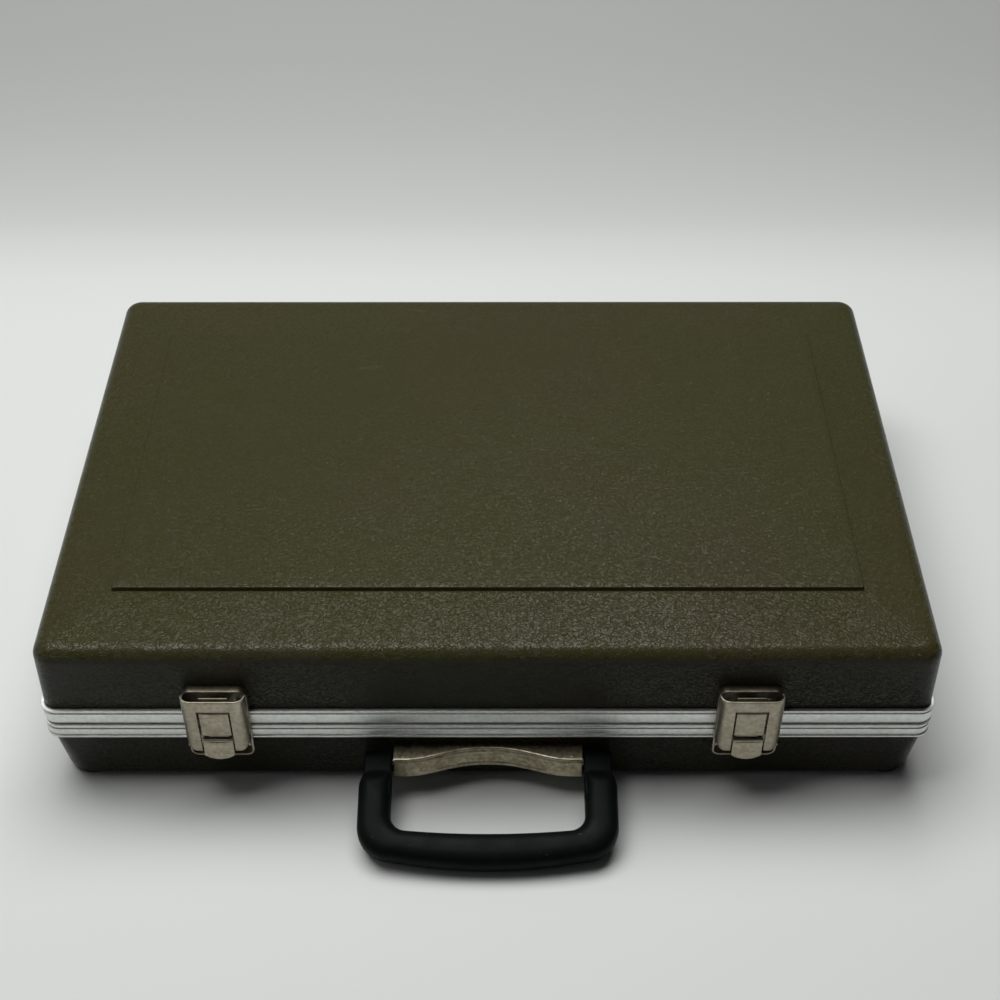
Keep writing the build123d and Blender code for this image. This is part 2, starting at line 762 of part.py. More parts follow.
def hasp(x):
    """The hook frame: a channel with its sides bent back, a window open at the foot, and two bosses"""
    half = hasp_width / 2
    top = parting_height + hasp_top
    leg_foot = parting_height - hasp_leg_drop
    boss_foot = draw_height - hasp_boss_radius
    section = Plane(origin=(x, -valance_face, boss_foot), x_dir=(1, 0, 0), z_dir=(0, 0, 1))
    with BuildSketch(section) as profile:
        with Locations((0, -hasp_front)):
            Rectangle(hasp_width, hasp_front - plate_wall, align=(Align.CENTER, Align.MIN))
        fillet(vertices().group_by(Axis.Y)[0], radius=hasp_bend)
    extrude(profile.sketch, amount=top - boss_foot)
    with BuildSketch(section) as profile:
        with Locations((0, -hasp_inside)):
            Rectangle(hasp_width - 2 * hasp_wall, hasp_front, align=(Align.CENTER, Align.MIN))
        fillet(vertices().group_by(Axis.Y)[0], radius=hasp_bend - hasp_wall)
    extrude(profile.sketch, amount=top - boss_foot, mode=Mode.SUBTRACT)
    with BuildSketch(side_plane(x + half)) as profile:
        with Locations((draw_depth, draw_height)):
            Circle(hasp_boss_radius)
        with Locations(
            (hasp_front - hasp_flange_depth + hasp_wall, draw_height + hasp_boss_height),
            (hasp_inside, draw_height),
        ):
            Circle(hasp_wall)
        make_hull()
        with Locations((hasp_front, leg_foot)):
            Rectangle(hasp_flange_depth, top - leg_foot, align=(Align.MAX, Align.MIN))
    extrude(profile.sketch, amount=hasp_width, mode=Mode.INTERSECT)
    with BuildSketch(front_plane.offset(draw_depth + hasp_boss_radius)) as profile:
        with Locations((x, leg_foot)):
            Rectangle(2 * hasp_width, 2 * hasp_leg_round, align=(Align.CENTER, Align.MIN))
            RectangleRounded(
                hasp_width,
                plate_width,
                hasp_leg_round,
                align=(Align.CENTER, Align.MIN),
                mode=Mode.SUBTRACT,
            )
    extrude(profile.sketch, amount=hasp_front, mode=Mode.SUBTRACT)
    with BuildSketch(front_plane) as profile:
        with Locations((x, parting_height + window_top)):
            Rectangle(window_width, 2 * hasp_top, align=(Align.CENTER, Align.MAX))
    extrude(profile.sketch, amount=hasp_front + cut_margin, mode=Mode.SUBTRACT)
    with BuildSketch(side_plane(x + half)) as profile:
        with Locations((draw_depth, draw_height)):
            Circle(latch_pin_radius + rivet_fit)
    extrude(profile.sketch, amount=hasp_width, mode=Mode.SUBTRACT)


def latch_pin(x, depth, height, half_grip):
    """A pin along X whose heads close on the cheeks or flanges that it joins"""
    headed_pin(
        side_plane(x + half_grip),
        (depth, height),
        latch_pin_radius,
        latch_pin_head,
        latch_pin_head_height,
        2 * half_grip,
    )


for side, x in latch_positions.items():
    with BuildPart() as catch_plate_piece:
        catch_plate(x)
    save(catch_plate_piece, "catch_plate_" + side)

    with BuildPart() as keeper_piece:
        keeper(x)
    save(keeper_piece, "keeper_" + side)

    with BuildPart() as catch_rivets:
        seat = plate_wall + seat_gap - valance_proud
        inner_face = -valance_proud - shell_wall
        rivets(front_plane, catch_rivet_points(x), rivet_radius, rivet_head_radius, seat, inner_face)
    save(catch_rivets, "catch_rivets_" + side)

    with BuildPart() as base_plate_piece:
        base_plate(x)
    save(base_plate_piece, "latch_base_plate_" + side)

    with BuildPart() as base_plate_rivets:
        seat = plate_wall + seat_gap
        rivets(
            front_wall_plane, base_plate_rivet_points(x), rivet_radius, rivet_head_radius, seat, -shell_wall
        )
    save(base_plate_rivets, "latch_base_rivets_" + side)

    with BuildPart() as lever_piece:
        lever(x)
    save(lever_piece, "lever_" + side)

    with BuildPart() as lever_pin:
        with BuildSketch(side_plane(x + lever_half)):
            with Locations((lever_pivot_depth, lever_pivot_height)):
                Circle(latch_pin_radius)
        extrude(amount=2 * lever_half)
    save(lever_pin, "lever_pin_" + side)

    with BuildPart() as hasp_piece:
        hasp(x)
    save(hasp_piece, "hasp_" + side)

    with BuildPart() as hasp_pin:
        latch_pin(x, draw_depth, draw_height, hasp_width / 2)
    save(hasp_pin, "hasp_pin_" + side)


# Handle bracket
def bracket_outline(step):
    """Plan of the bracket: straight at the wall, and bowed towards the wall in the middle of its front"""
    half = bracket_length / 2
    shoulder = half - bracket_end_flat
    end = -(valance_face + bracket_end_reach - step)
    quarter = -(valance_face + bracket_quarter_reach - step)
    waist = -(valance_face + bracket_waist_reach - step)
    back = -half_depth + base_roll
    with BuildLine() as edge:
        Spline(
            (-shoulder, end),
            (-bracket_quarter, quarter),
            (0, waist),
            (bracket_quarter, quarter),
            (shoulder, end),
            tangents=[(1, 0), (1, 0)],
        )
        Polyline((shoulder, end), (half, end), (half, back), (-half, back), (-half, end), (-shoulder, end))
    make_face(edge.edges())


with BuildPart() as bracket_hollow:
    with BuildSketch(Plane.XY.offset(bracket_top - bracket_height + bracket_wall)):
        bracket_outline(bracket_step + bracket_wall)
    extrude(amount=bracket_height - 2 * bracket_wall)
    with BuildSketch(Plane.XY.offset(bracket_top - bracket_height)):
        Rectangle(bracket_length - 2 * bracket_wall, 2 * shell_depth)
    extrude(amount=bracket_height, mode=Mode.INTERSECT)

with BuildPart() as handle_bracket:
    bottom = bracket_top - bracket_height
    bead_top = bracket_top - bracket_ridge_height
    with BuildSketch(Plane.XY.offset(bottom)):
        bracket_outline(bracket_step)
    extrude(amount=bracket_height - bracket_ridge_height)
    with BuildSketch(Plane.XY.offset(bead_top - 2 * bracket_bead_height)):
        bracket_outline(bracket_bead_step)
    extrude(amount=bracket_bead_height)
    with BuildSketch(Plane.XY.offset(bead_top)):
        bracket_outline(0)
    extrude(amount=bracket_ridge_height)
    with BuildSketch(Plane.XY.offset(bracket_top)):
        dimple_y = handle_pivot_y - bracket_end_reach + handle_pivot_front + bracket_dimple_setback
        with Locations((-bracket_dimple_spacing / 2, dimple_y), (bracket_dimple_spacing / 2, dimple_y)):
            Circle(bracket_dimple)
    extrude(amount=bracket_dimple / 2, taper=30)
    add(bracket_hollow.part, mode=Mode.SUBTRACT)
    with BuildSketch(front_wall_plane):
        with Locations(*bracket_rivet_points):
            Rectangle(bracket_foot_length, bracket_height - bracket_wall)
    extrude(amount=bracket_foot_wall)
    add(base_envelope.part, mode=Mode.SUBTRACT)
    drill(front_wall_plane, bracket_rivet_points, bracket_bore, 2 * bracket_foot_wall, -cut_margin)
    with BuildSketch(Plane.YZ.offset(-bracket_length)):
        with Locations((handle_pivot_y, handle_pivot_height)):
            Circle(handle_pin_radius + rivet_fit)
    extrude(amount=2 * bracket_length, mode=Mode.SUBTRACT)
save(handle_bracket, "handle_bracket")

with BuildPart() as inner_face_form:
    tub_form(shell_wall + seat_gap + backing_wall, shell_wall)

with BuildPart() as wall_face_form:
    tub_form(shell_wall + seat_gap, shell_wall)

with BuildPart() as handle_backing_plate:
    with BuildSketch(front_plane.offset(-valance_proud)):
        with Locations((0, bracket_middle)):
            Rectangle(backing_length, backing_height)
    extrude(amount=-3 * base_roll)
    add(wall_face_form.part, mode=Mode.INTERSECT)
    add(inner_face_form.part, mode=Mode.SUBTRACT)
    drill(front_wall_plane, bracket_rivet_points, bracket_bore, cut_margin, -2 * through_wall)
save(handle_backing_plate, "handle_backing_plate")

with BuildPart() as handle_bracket_rivets:
    rivets(
        front_wall_plane,
        bracket_rivet_points,
        bracket_rivet_radius,
        bracket_rivet_head,
        bracket_foot_wall,
        -(shell_wall + seat_gap + backing_wall),
    )
save(handle_bracket_rivets, "handle_bracket_rivets")

for side, sign in (("left", -1), ("right", 1)):
    with BuildPart() as handle_pin:
        inner_end = bracket_length / 2 - bracket_wall
        with BuildSketch(Plane.YZ.offset(sign * inner_end)):
            with Locations((handle_pivot_y, handle_pivot_height)):
                Circle(handle_pin_radius)
        extrude(amount=sign * (bracket_wall + handle_pin_depth))
        with BuildSketch(Plane.YZ.offset(sign * inner_end)):
            with Locations((handle_pivot_y, handle_pivot_height)):
                Circle(handle_pin_head)
        extrude(amount=-sign * handle_pin_head_height)
    save(handle_pin, "handle_pin_" + side)

# Handle, drawn on the sloping plane through its pivots
handle_plane = Plane(
    origin=(0, handle_pivot_y, handle_pivot_height),
    x_dir=(1, 0, 0),
    z_dir=(0, -sin(rest_angle), cos(rest_angle)),
)


def handle_outline(half, reach, bow, corner):
    """A U with a bowed foot and round corners, squared off at the shoulder"""
    side_foot = bow - reach
    with BuildLine() as edge:
        Polyline((-half, side_foot), (-half, -handle_shoulder), (half, -handle_shoulder), (half, side_foot))
        ThreePointArc((half, side_foot), (0, -reach), (-half, side_foot))
    make_face(edge.edges())
    fillet(vertices().group_by(Axis.Y)[0], radius=corner)


with BuildPart() as handle:
    with BuildSketch(handle_plane):
        handle_outline(handle_width / 2, handle_reach, handle_outer_bow, handle_corner)
    extrude(amount=handle_thickness / 2, both=True)
    with BuildSketch(handle_plane):
        handle_outline(handle_gap / 2, handle_inner_reach, handle_inner_bow, handle_inner_corner)
    extrude(amount=handle_thickness / 2, both=True, mode=Mode.SUBTRACT)
    rims = faces().filter_by(handle_plane).edges().filter_by(Axis.X, reverse=True)
    fillet(rims, radius=handle_round)
    tab_x = handle_gap / 2 + handle_tab_width / 2
    tab_half = handle_tab_thickness / 2
    with BuildSketch(handle_plane):
        with Locations((-tab_x, tab_half), (tab_x, tab_half)):
            Rectangle(handle_tab_width, tab_half + handle_tab_reach, align=(Align.CENTER, Align.MAX))
    extrude(amount=tab_half, both=True)
    tab_ends = edges().filter_by(Axis.X).filter_by(
        lambda edge: handle_plane.to_local_coords(edge.center()).Y > tab_half - seat_gap
    )
    fillet(tab_ends, radius=tab_half - seat_gap)
    for sign in (-1, 1):
        with BuildSketch(Plane.YZ.offset(sign * (handle_gap / 2 - cut_margin))):
            with Locations((handle_pivot_y, handle_pivot_height)):
                Circle(handle_pin_radius + pin_clearance)
        extrude(amount=sign * (handle_pin_depth + cut_margin), mode=Mode.SUBTRACT)
save(handle, "handle")

# Hinges
half_hinge = hinge_width / 2
half_centre = centre_knuckle / 2
centre_knuckles = [(-half_centre, half_centre)]
side_knuckles = [
    (-half_hinge, -half_centre - knuckle_side_gap),
    (half_centre + knuckle_side_gap, half_hinge),
]


def hinge_section(x):
    """Plane square to the hinge: local X is the distance behind the valance, local Y is up from the pin"""
    return Plane(origin=(x, valance_face, parting_height), x_dir=(0, 1, 0), z_dir=(1, 0, 0))


def leaf(x, upwards, height, knuckles):
    """A leaf flat on the valance, joined by webs to the barrels rolled round the pin"""
    with BuildSketch(back_plane) as profile:
        with Locations((-x, parting_height + upwards * (axis_offset + height) / 2)):
            RectangleRounded(hinge_width, height - axis_offset, hinge_wall)
    extrude(profile.sketch, amount=hinge_wall)
    for start, end in knuckles:
        with BuildSketch(hinge_section(x + start)) as profile:
            with Locations((axis_offset, 0)):
                Circle(knuckle_radius)
            with Locations((hinge_wall / 2, upwards * axis_offset)):
                Rectangle(hinge_wall, 2 * (axis_offset - parting_gap))
        extrude(profile.sketch, amount=end - start)


def stop_ears(x):
    """Ears behind the end barrels, which the lid's leaf comes down on when the lid is open"""
    for start in (-half_hinge, half_hinge - stop_width):
        with BuildSketch(hinge_section(x + start)) as profile:
            with Locations((axis_offset, stop_rise)):
                Rectangle(stop_reach, stop_wall, align=(Align.MIN, Align.MAX))
        extrude(profile.sketch, amount=stop_width)


def hinge_bore(x):
    with BuildSketch(hinge_section(x - hinge_width)) as profile:
        with Locations((axis_offset, 0)):
            Circle(hinge_pin_radius + pin_clearance)
    extrude(profile.sketch, amount=2 * hinge_width, mode=Mode.SUBTRACT)


for side, x in hinge_positions.items():
    inner_face = -(valance_proud + inner_leg_line)

    with BuildPart() as lid_leaf:
        leaf(x, 1, lid_leaf_height, centre_knuckles)
        hinge_bore(x)
        drill(back_plane, hinge_rivet_points(x, lid_rivet_height), rivet_bore, hinge_wall, 0)
    save(lid_leaf, "hinge_lid_leaf_" + side)

    with BuildPart() as base_leaf:
        leaf(x, -1, base_leaf_height, side_knuckles)
        stop_ears(x)
        hinge_bore(x)
        drill(back_plane, hinge_rivet_points(x, base_rivet_height), rivet_bore, hinge_wall, 0)
    save(base_leaf, "hinge_base_leaf_" + side)

    with BuildPart() as hinge_pin:
        headed_pin(
            hinge_section(x - half_hinge), (axis_offset, 0), hinge_pin_radius, hinge_pin_head,
            hinge_pin_head_height, hinge_width,
        )
    save(hinge_pin, "hinge_pin_" + side)

    with BuildPart() as lid_leaf_rivets:
        points = hinge_rivet_points(x, lid_rivet_height)
        rivets(back_plane, points, rivet_radius, rivet_head_radius, hinge_wall, inner_face)
    save(lid_leaf_rivets, "hinge_lid_rivets_" + side)

    with BuildPart() as base_leaf_rivets:
        points = hinge_rivet_points(x, base_rivet_height)
        rivets(back_plane, points, rivet_radius, rivet_head_radius, hinge_wall, inner_face)
    save(base_leaf_rivets, "hinge_base_rivets_" + side)
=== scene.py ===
import json
import math

import bmesh
import bpy
import numpy as np
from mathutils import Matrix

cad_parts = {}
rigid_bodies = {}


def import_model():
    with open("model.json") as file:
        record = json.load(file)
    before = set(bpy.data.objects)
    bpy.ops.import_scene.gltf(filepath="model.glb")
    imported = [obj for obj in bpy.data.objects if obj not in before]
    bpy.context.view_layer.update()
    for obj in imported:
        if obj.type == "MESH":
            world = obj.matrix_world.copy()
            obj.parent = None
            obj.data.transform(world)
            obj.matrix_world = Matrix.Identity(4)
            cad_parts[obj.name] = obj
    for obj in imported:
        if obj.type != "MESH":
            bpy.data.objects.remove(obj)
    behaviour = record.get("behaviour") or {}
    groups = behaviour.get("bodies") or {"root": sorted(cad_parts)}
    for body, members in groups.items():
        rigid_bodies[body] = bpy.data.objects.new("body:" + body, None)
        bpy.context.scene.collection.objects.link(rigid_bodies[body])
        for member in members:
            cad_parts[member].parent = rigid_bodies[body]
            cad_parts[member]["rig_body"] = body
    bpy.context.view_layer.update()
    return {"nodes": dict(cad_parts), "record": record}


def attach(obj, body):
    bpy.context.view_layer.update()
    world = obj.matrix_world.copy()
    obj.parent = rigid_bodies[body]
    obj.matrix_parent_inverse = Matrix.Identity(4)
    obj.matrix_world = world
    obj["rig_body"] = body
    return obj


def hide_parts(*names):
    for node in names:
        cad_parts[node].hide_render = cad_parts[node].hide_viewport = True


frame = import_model()
print("frame loaded:", len(frame["nodes"]), "CAD nodes")

mm = 0.001
frontFace = 146.25  # the valance's face is this far in front of the shells' middle
middleY = 24.174  # the shells' middle is this far behind the middle of the whole outline, the origin

# The case's own sizes in millimetres: the CAD part's, but for the tub's lower edge and the panel's step
case = {
    "halfX": 220.25, "halfY": 144.25, "corner": 6.0, "wall": 2.6,
    "lidFoot": 55.8, "lidTop": 95.5, "lidRoll": 7.5, "crownCorner": 10.0,
    "lidRim": 46.4, "panelHalfX": 186.8, "panelHalfY": 103.45, "panelShift": 0.8, "panelFoot": 96.5,
    "panelRise": 2.0, "tubTop": 35.0, "tubSetback": 0.5, "draft": 0.6, "tubRoll": 3.0, "tubFootCorner": 18.0,
    "rimFoot": 37.5, "tubRim": 43.6, "floor": 2.6, "innerFloor": 3.6, "innerFoot": 13.0, "floorInset": 40.0,
    "footRadius": 12.3, "footRim": 1.6, "footInset": 14.5, "footTop": 3.5,
}


# Shape helpers: every shape is a grid of points worked out as whole arrays

def outlineWeights(alongX, alongY, turn, gap=None):
    # A rectangle with round corners, from the middle of the back round by the left. Each point is
    # (ax * (halfX - r) + bx * r, ay * (halfY - r) + by * r): straight runs slide ax or ay, and
    # corners turn bx and by. With a gap, the run stops that share short of the middle of the back.
    start = 0.0 if gap is None else gap
    quarter = np.linspace(0, math.pi / 2, turn + 1)
    halfRun = np.linspace(start, 1, alongX // 2 + 1)[:-1]
    runX = np.linspace(-1, 1, alongX + 1)[1:-1]
    runY = np.linspace(-1, 1, alongY + 1)[1:-1]
    back = halfRun[::-1] if gap is not None else halfRun[::-1][:-1]

    def run(ax, bx, ay, by, count):
        return np.stack([np.broadcast_to(np.asarray(v, float), (count,)) for v in (ax, bx, ay, by)], 1)

    def corner(ax, ay, first):
        return run(ax, np.cos(first + quarter), ay, np.sin(first + quarter), turn + 1)

    return np.concatenate([
        run(-halfRun, 0, 1, 1, len(halfRun)),
        corner(-1, 1, math.pi / 2),
        run(-1, -1, -runY, 0, len(runY)),
        corner(-1, -1, math.pi),
        run(runX, 0, -1, -1, len(runX)),
        corner(1, -1, 1.5 * math.pi),
        run(1, 1, runY, 0, len(runY)),
        corner(1, 1, 0),
        run(back, 0, 1, 1, len(back)),
    ])


def ringStack(weights, halfX, halfY, corner, z, shiftY=0.0):
    # One ring for each entry of the size lists, all with the same number of points
    sizes = np.broadcast_arrays(halfX, halfY, corner, z, shiftY)
    hx, hy, r, z, shift = [np.asarray(v, float).reshape(-1, 1) for v in sizes]
    ax, bx, ay, by = weights.T
    return np.stack([ax * (hx - r) + bx * r, ay * (hy - r) + by * r + shift, z + 0 * ax], -1)


def gridQuads(rows, cols, wrapRows=False, wrapCols=False):
    i, j = np.meshgrid(np.arange(rows if wrapRows else rows - 1),
                       np.arange(cols if wrapCols else cols - 1), indexing="ij")
    nextI, nextJ = (i + 1) % rows, (j + 1) % cols
    corners = [i * cols + j, i * cols + nextJ, nextI * cols + nextJ, nextI * cols + j]
    return np.stack(corners, -1).reshape(-1, 4)


def ringFaces(points):
    # Each row is a closed ring: quads between the rings, and a face over each end of the stack
    rows, cols = points.shape[:2]
    ring = np.arange(cols)
    return list(gridQuads(rows, cols, wrapCols=True)) + [ring[::-1], ring + (rows - 1) * cols]


def sectionFaces(points):
    # Each column is a closed section: quads between the sections, and a face over each end
    rows, cols = points.shape[:2]
    section = np.arange(rows) * cols
    return list(gridQuads(rows, cols, wrapRows=True)) + [section, section[::-1] + cols - 1]


def arc(centreU, centreV, radius, first, last, count):
    a = np.radians(np.linspace(first, last, count))
    return np.stack([centreU + radius * np.cos(a), centreV + radius * np.sin(a)], 1)


def turned(line, centreX, centreY, spokes):
    # A line of (radius, height) turned about an upright axis
    a = np.linspace(0, 2 * math.pi, spokes, endpoint=False)
    return np.stack([centreX + line[:, :1] * np.cos(a), centreY + line[:, :1] * np.sin(a),
                     np.broadcast_to(line[:, 1:], (len(line), spokes))], -1)


def easedLoop(points, reach, steps=3, closed=True):
    # Each corner becomes a short quadratic curve, (1 - t)^2 a + 2 t (1 - t) corner + t^2 b, where a and b
    # lie up to reach before and after the corner
    p = np.asarray(points, float)
    before, after = np.roll(p, 1, 0) - p, np.roll(p, -1, 0) - p
    toBefore = np.linalg.norm(before, axis=1, keepdims=True)
    toAfter = np.linalg.norm(after, axis=1, keepdims=True)
    reach = np.broadcast_to(np.reshape(reach, (-1, 1)), toAfter.shape)
    cut = np.minimum(reach, 0.45 * np.minimum(toAfter, toBefore))
    a, b = p + before / toBefore * cut, p + after / toAfter * cut
    t = np.linspace(0, 1, steps).reshape(1, -1, 1)
    curve = (1 - t) ** 2 * a[:, None] + 2 * t * (1 - t) * p[:, None] + t ** 2 * b[:, None]
    if not closed:
        curve[0], curve[-1] = p[0], p[-1]
    return curve.reshape(-1, 2)


def ribbonLoop(path, width):
    # A closed loop half the width to each side of the path, along its own normals
    along = np.gradient(path, axis=0)
    along /= np.linalg.norm(along, axis=1, keepdims=True)
    side = np.stack([along[:, 1], -along[:, 0]], 1) * width / 2
    return np.concatenate([path + side, (path - side)[::-1]])


def discHull(discs, count=48):
    # The outline round several discs: in each direction, the farthest point of any of them
    a = np.linspace(0, 2 * math.pi, count, endpoint=False)
    d = np.stack([np.cos(a), np.sin(a)], 1)
    discs = np.asarray(discs, float)
    far = np.argmax(d @ discs[:, :2].T + discs[:, 2], 1)
    return discs[far, :2] + discs[far, 2:] * d


def acrossCase(x, loop):
    # Loops of (distance in front of the valance, height) placed at each x
    x = np.asarray(x, float)
    loop = np.broadcast_to(loop, (len(x),) + np.shape(loop)[-2:]).swapaxes(0, 1)
    return np.stack([np.broadcast_to(x, loop.shape[:2]), -frontFace - loop[..., 0], loop[..., 1]], -1)


def newPiece(name, points, faces, look, sharp=35):
    mesh = bpy.data.meshes.new(name)
    used = np.unique(np.concatenate([np.ravel(f) for f in faces]))
    place = np.zeros(used.max() + 1, int)
    place[used] = np.arange(len(used))
    points = (np.reshape(points, (-1, 3))[used] + (0, middleY, 0)) * mm
    mesh.from_pydata(points.tolist(), [], [place[np.asarray(f)].tolist() for f in faces])
    piece = bpy.data.objects.new(name, mesh)
    bpy.context.scene.collection.objects.link(piece)
    mesh.materials.append(look)
    tidyFaces(piece, sharp)
    return piece


def tidyFaces(piece, sharp=35):
    # Points that meet become one, faces point outwards, and edges sharper than the angle stay sharp
    bm = bmesh.new()
    bm.from_mesh(piece.data)
    bmesh.ops.remove_doubles(bm, verts=bm.verts, dist=1e-7)
    bmesh.ops.recalc_face_normals(bm, faces=bm.faces)
    bm.to_mesh(piece.data)
    bm.free()
    piece.data.polygons.foreach_set("use_smooth", np.ones(len(piece.data.polygons), bool))
    piece.data.set_sharp_from_angle(angle=math.radians(sharp))


def finishModifiers(piece, sharp=35):
    # The modifiers' result becomes the mesh itself
    depsgraph = bpy.context.evaluated_depsgraph_get()
    mesh = bpy.data.meshes.new_from_object(piece.evaluated_get(depsgraph))
    piece.modifiers.clear()
    piece.data = mesh
    mesh.polygons.foreach_set("use_smooth", np.ones(len(mesh.polygons), bool))
    mesh.set_sharp_from_angle(angle=math.radians(sharp))


def roundEdges(piece, width, segments=2, angle=40, sharp=50):
    bevel = piece.modifiers.new("roundedEdges", "BEVEL")
    bevel.width, bevel.segments = width * mm, segments
    bevel.limit_method, bevel.angle_limit = "ANGLE", math.radians(angle)
    bevel.use_clamp_overlap = True
    finishModifiers(piece, sharp)


def prism(name, x, loops, look, sharp=35):
    # A closed loop carried along x, with a face over each end
    points = acrossCase(x, loops)
    return newPiece(name, points, sectionFaces(points), look, sharp)


def joinPieces(name, parts):
    mesh = bpy.data.meshes.new(name)
    bm = bmesh.new()
    for part in parts:
        bm.from_mesh(part.data)
    bm.to_mesh(mesh)
    bm.free()
    mesh.materials.append(parts[0].data.materials[0])
    piece = bpy.data.objects.new(name, mesh)
    bpy.context.scene.collection.objects.link(piece)
    for part in parts:
        bpy.data.objects.remove(part)
    return piece


slotOf = {entry["node"]: entry["material_slot"] for entry in frame["record"]["subparts"]}


def settle(piece, body, slotName, *nodes):
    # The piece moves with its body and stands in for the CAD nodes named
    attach(piece, body)
    if nodes:
        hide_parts(*nodes)


def softenedNode(node, look, width, segments=2):
    # A copy of a CAD piece with its triangles joined, its flat faces whole again and its edges rounded
    source = frame["nodes"][node]
    bm = bmesh.new()
    bm.from_mesh(source.data)
    bmesh.ops.remove_doubles(bm, verts=bm.verts, dist=2e-6)
    bmesh.ops.dissolve_limit(bm, angle_limit=math.radians(0.6), verts=bm.verts, edges=bm.edges)
    mesh = bpy.data.meshes.new(node + "Finished")
    bm.to_mesh(mesh)
    bm.free()
    piece = bpy.data.objects.new(node + "Finished", mesh)
    bpy.context.scene.collection.objects.link(piece)
    mesh.materials.append(look)
    roundEdges(piece, width, segments)
    settle(piece, source["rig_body"], slotOf[node], node)


# Material helpers

def newLook(name):
    look = bpy.data.materials.new(name)
    look.use_nodes = True
    return look, look.node_tree, look.node_tree.nodes["Principled BSDF"]


def put(tree, kind, inputs=(), **settings):
    node = tree.nodes.new(kind)
    for key, value in settings.items():
        setattr(node, key, value)
    for key, value in dict(inputs).items():
        if isinstance(value, bpy.types.NodeSocket):
            tree.links.new(value, node.inputs[key])
        else:
            node.inputs[key].default_value = value
    return node


def objectPlace(tree, scale=(1, 1, 1), turn=(0, 0, 0)):
    place = put(tree, "ShaderNodeTexCoord").outputs["Object"]
    return put(tree, "ShaderNodeMapping", {"Vector": place, "Scale": scale, "Rotation": turn}).outputs[0]


def noise(tree, place, scale, detail=3.0, rough=0.5, distortion=0.0):
    return put(tree, "ShaderNodeTexNoise", {
        "Vector": place, "Scale": scale, "Detail": detail, "Roughness": rough, "Distortion": distortion,
    }).outputs["Fac"]


def cells(tree, place, scale, feature="DISTANCE_TO_EDGE"):
    return put(tree, "ShaderNodeTexVoronoi", {"Vector": place, "Scale": scale},
               feature=feature).outputs["Distance"]


def spread(tree, value, fromLow, fromHigh, toLow=0.0, toHigh=1.0):
    ends = {1: fromLow, 2: fromHigh, 3: toLow, 4: toHigh}
    return put(tree, "ShaderNodeMapRange", {0: value, **ends}).outputs[0]


def reckon(tree, operation, first, second=0.0):
    return put(tree, "ShaderNodeMath", {0: first, 1: second}, operation=operation).outputs[0]


def times(tree, *values):
    product = values[0]
    for value in values[1:]:
        product = reckon(tree, "MULTIPLY", product, value)
    return product


def offMiddle(tree, value):
    # How far a noise is from its middle, so that its level lines come out as ridges
    return reckon(tree, "ABSOLUTE", reckon(tree, "SUBTRACT", value, 0.5))


def blendColour(tree, share, first, second, kind="MIX"):
    node = put(tree, "ShaderNodeMix", data_type="RGBA", blend_type=kind)
    for socket, value in ((node.inputs[0], share), (node.inputs[6], first), (node.inputs[7], second)):
        if isinstance(value, bpy.types.NodeSocket):
            tree.links.new(value, socket)
        else:
            socket.default_value = value if isinstance(value, float) else (*value, 1.0)
    return node.outputs[2]


def relief(tree, height, strength, distance, under=None):
    inputs = {"Height": height, "Strength": strength, "Distance": distance}
    if under is not None:
        inputs["Normal"] = under
    return put(tree, "ShaderNodeBump", inputs).outputs[0]


def connect(tree, shader, **sockets):
    names = {"colour": "Base Color", "rough": "Roughness", "normal": "Normal"}
    for key, value in sockets.items():
        tree.links.new(value, shader.inputs[names[key]])


# Materials, each with the values that a user would change

# Pairs from rubbedSide on are in metres, in the case's own frame: where a mark begins and where it is full
shellValues = {
    "olive": (0.0345, 0.0335, 0.0068), "brown": (0.0385, 0.0315, 0.0088), "worn": (0.105, 0.100, 0.055),
    "roughness": (0.17, 0.25), "specular": 0.21, "grainSize": 620.0, "wrinkleSize": 430.0,
    "grain": 0.5, "wrinkles": 0.9, "scratches": 0.55, "specks": 0.35,
    "rubbed": 0.7, "rubbedSide": (0.2150, 0.2195), "rubbedBack": (0.1630, 0.1675),
    "rubbedHeight": (0.084, 0.092),
    # The crease entries place a painted highlight: a pale line along the crease at the panel's front right
    # corner
    "crease": 0.55, "creaseTurn": -1.39, "creaseFrom": -0.1796, "creaseHalf": (0.0001, 0.0009),
    "creaseStart": (0.187, 0.190), "creaseEnd": (0.213, 0.209), "creaseDepth": (-0.070, -0.074),
    "creaseHeight": (0.094, 0.0945),
}


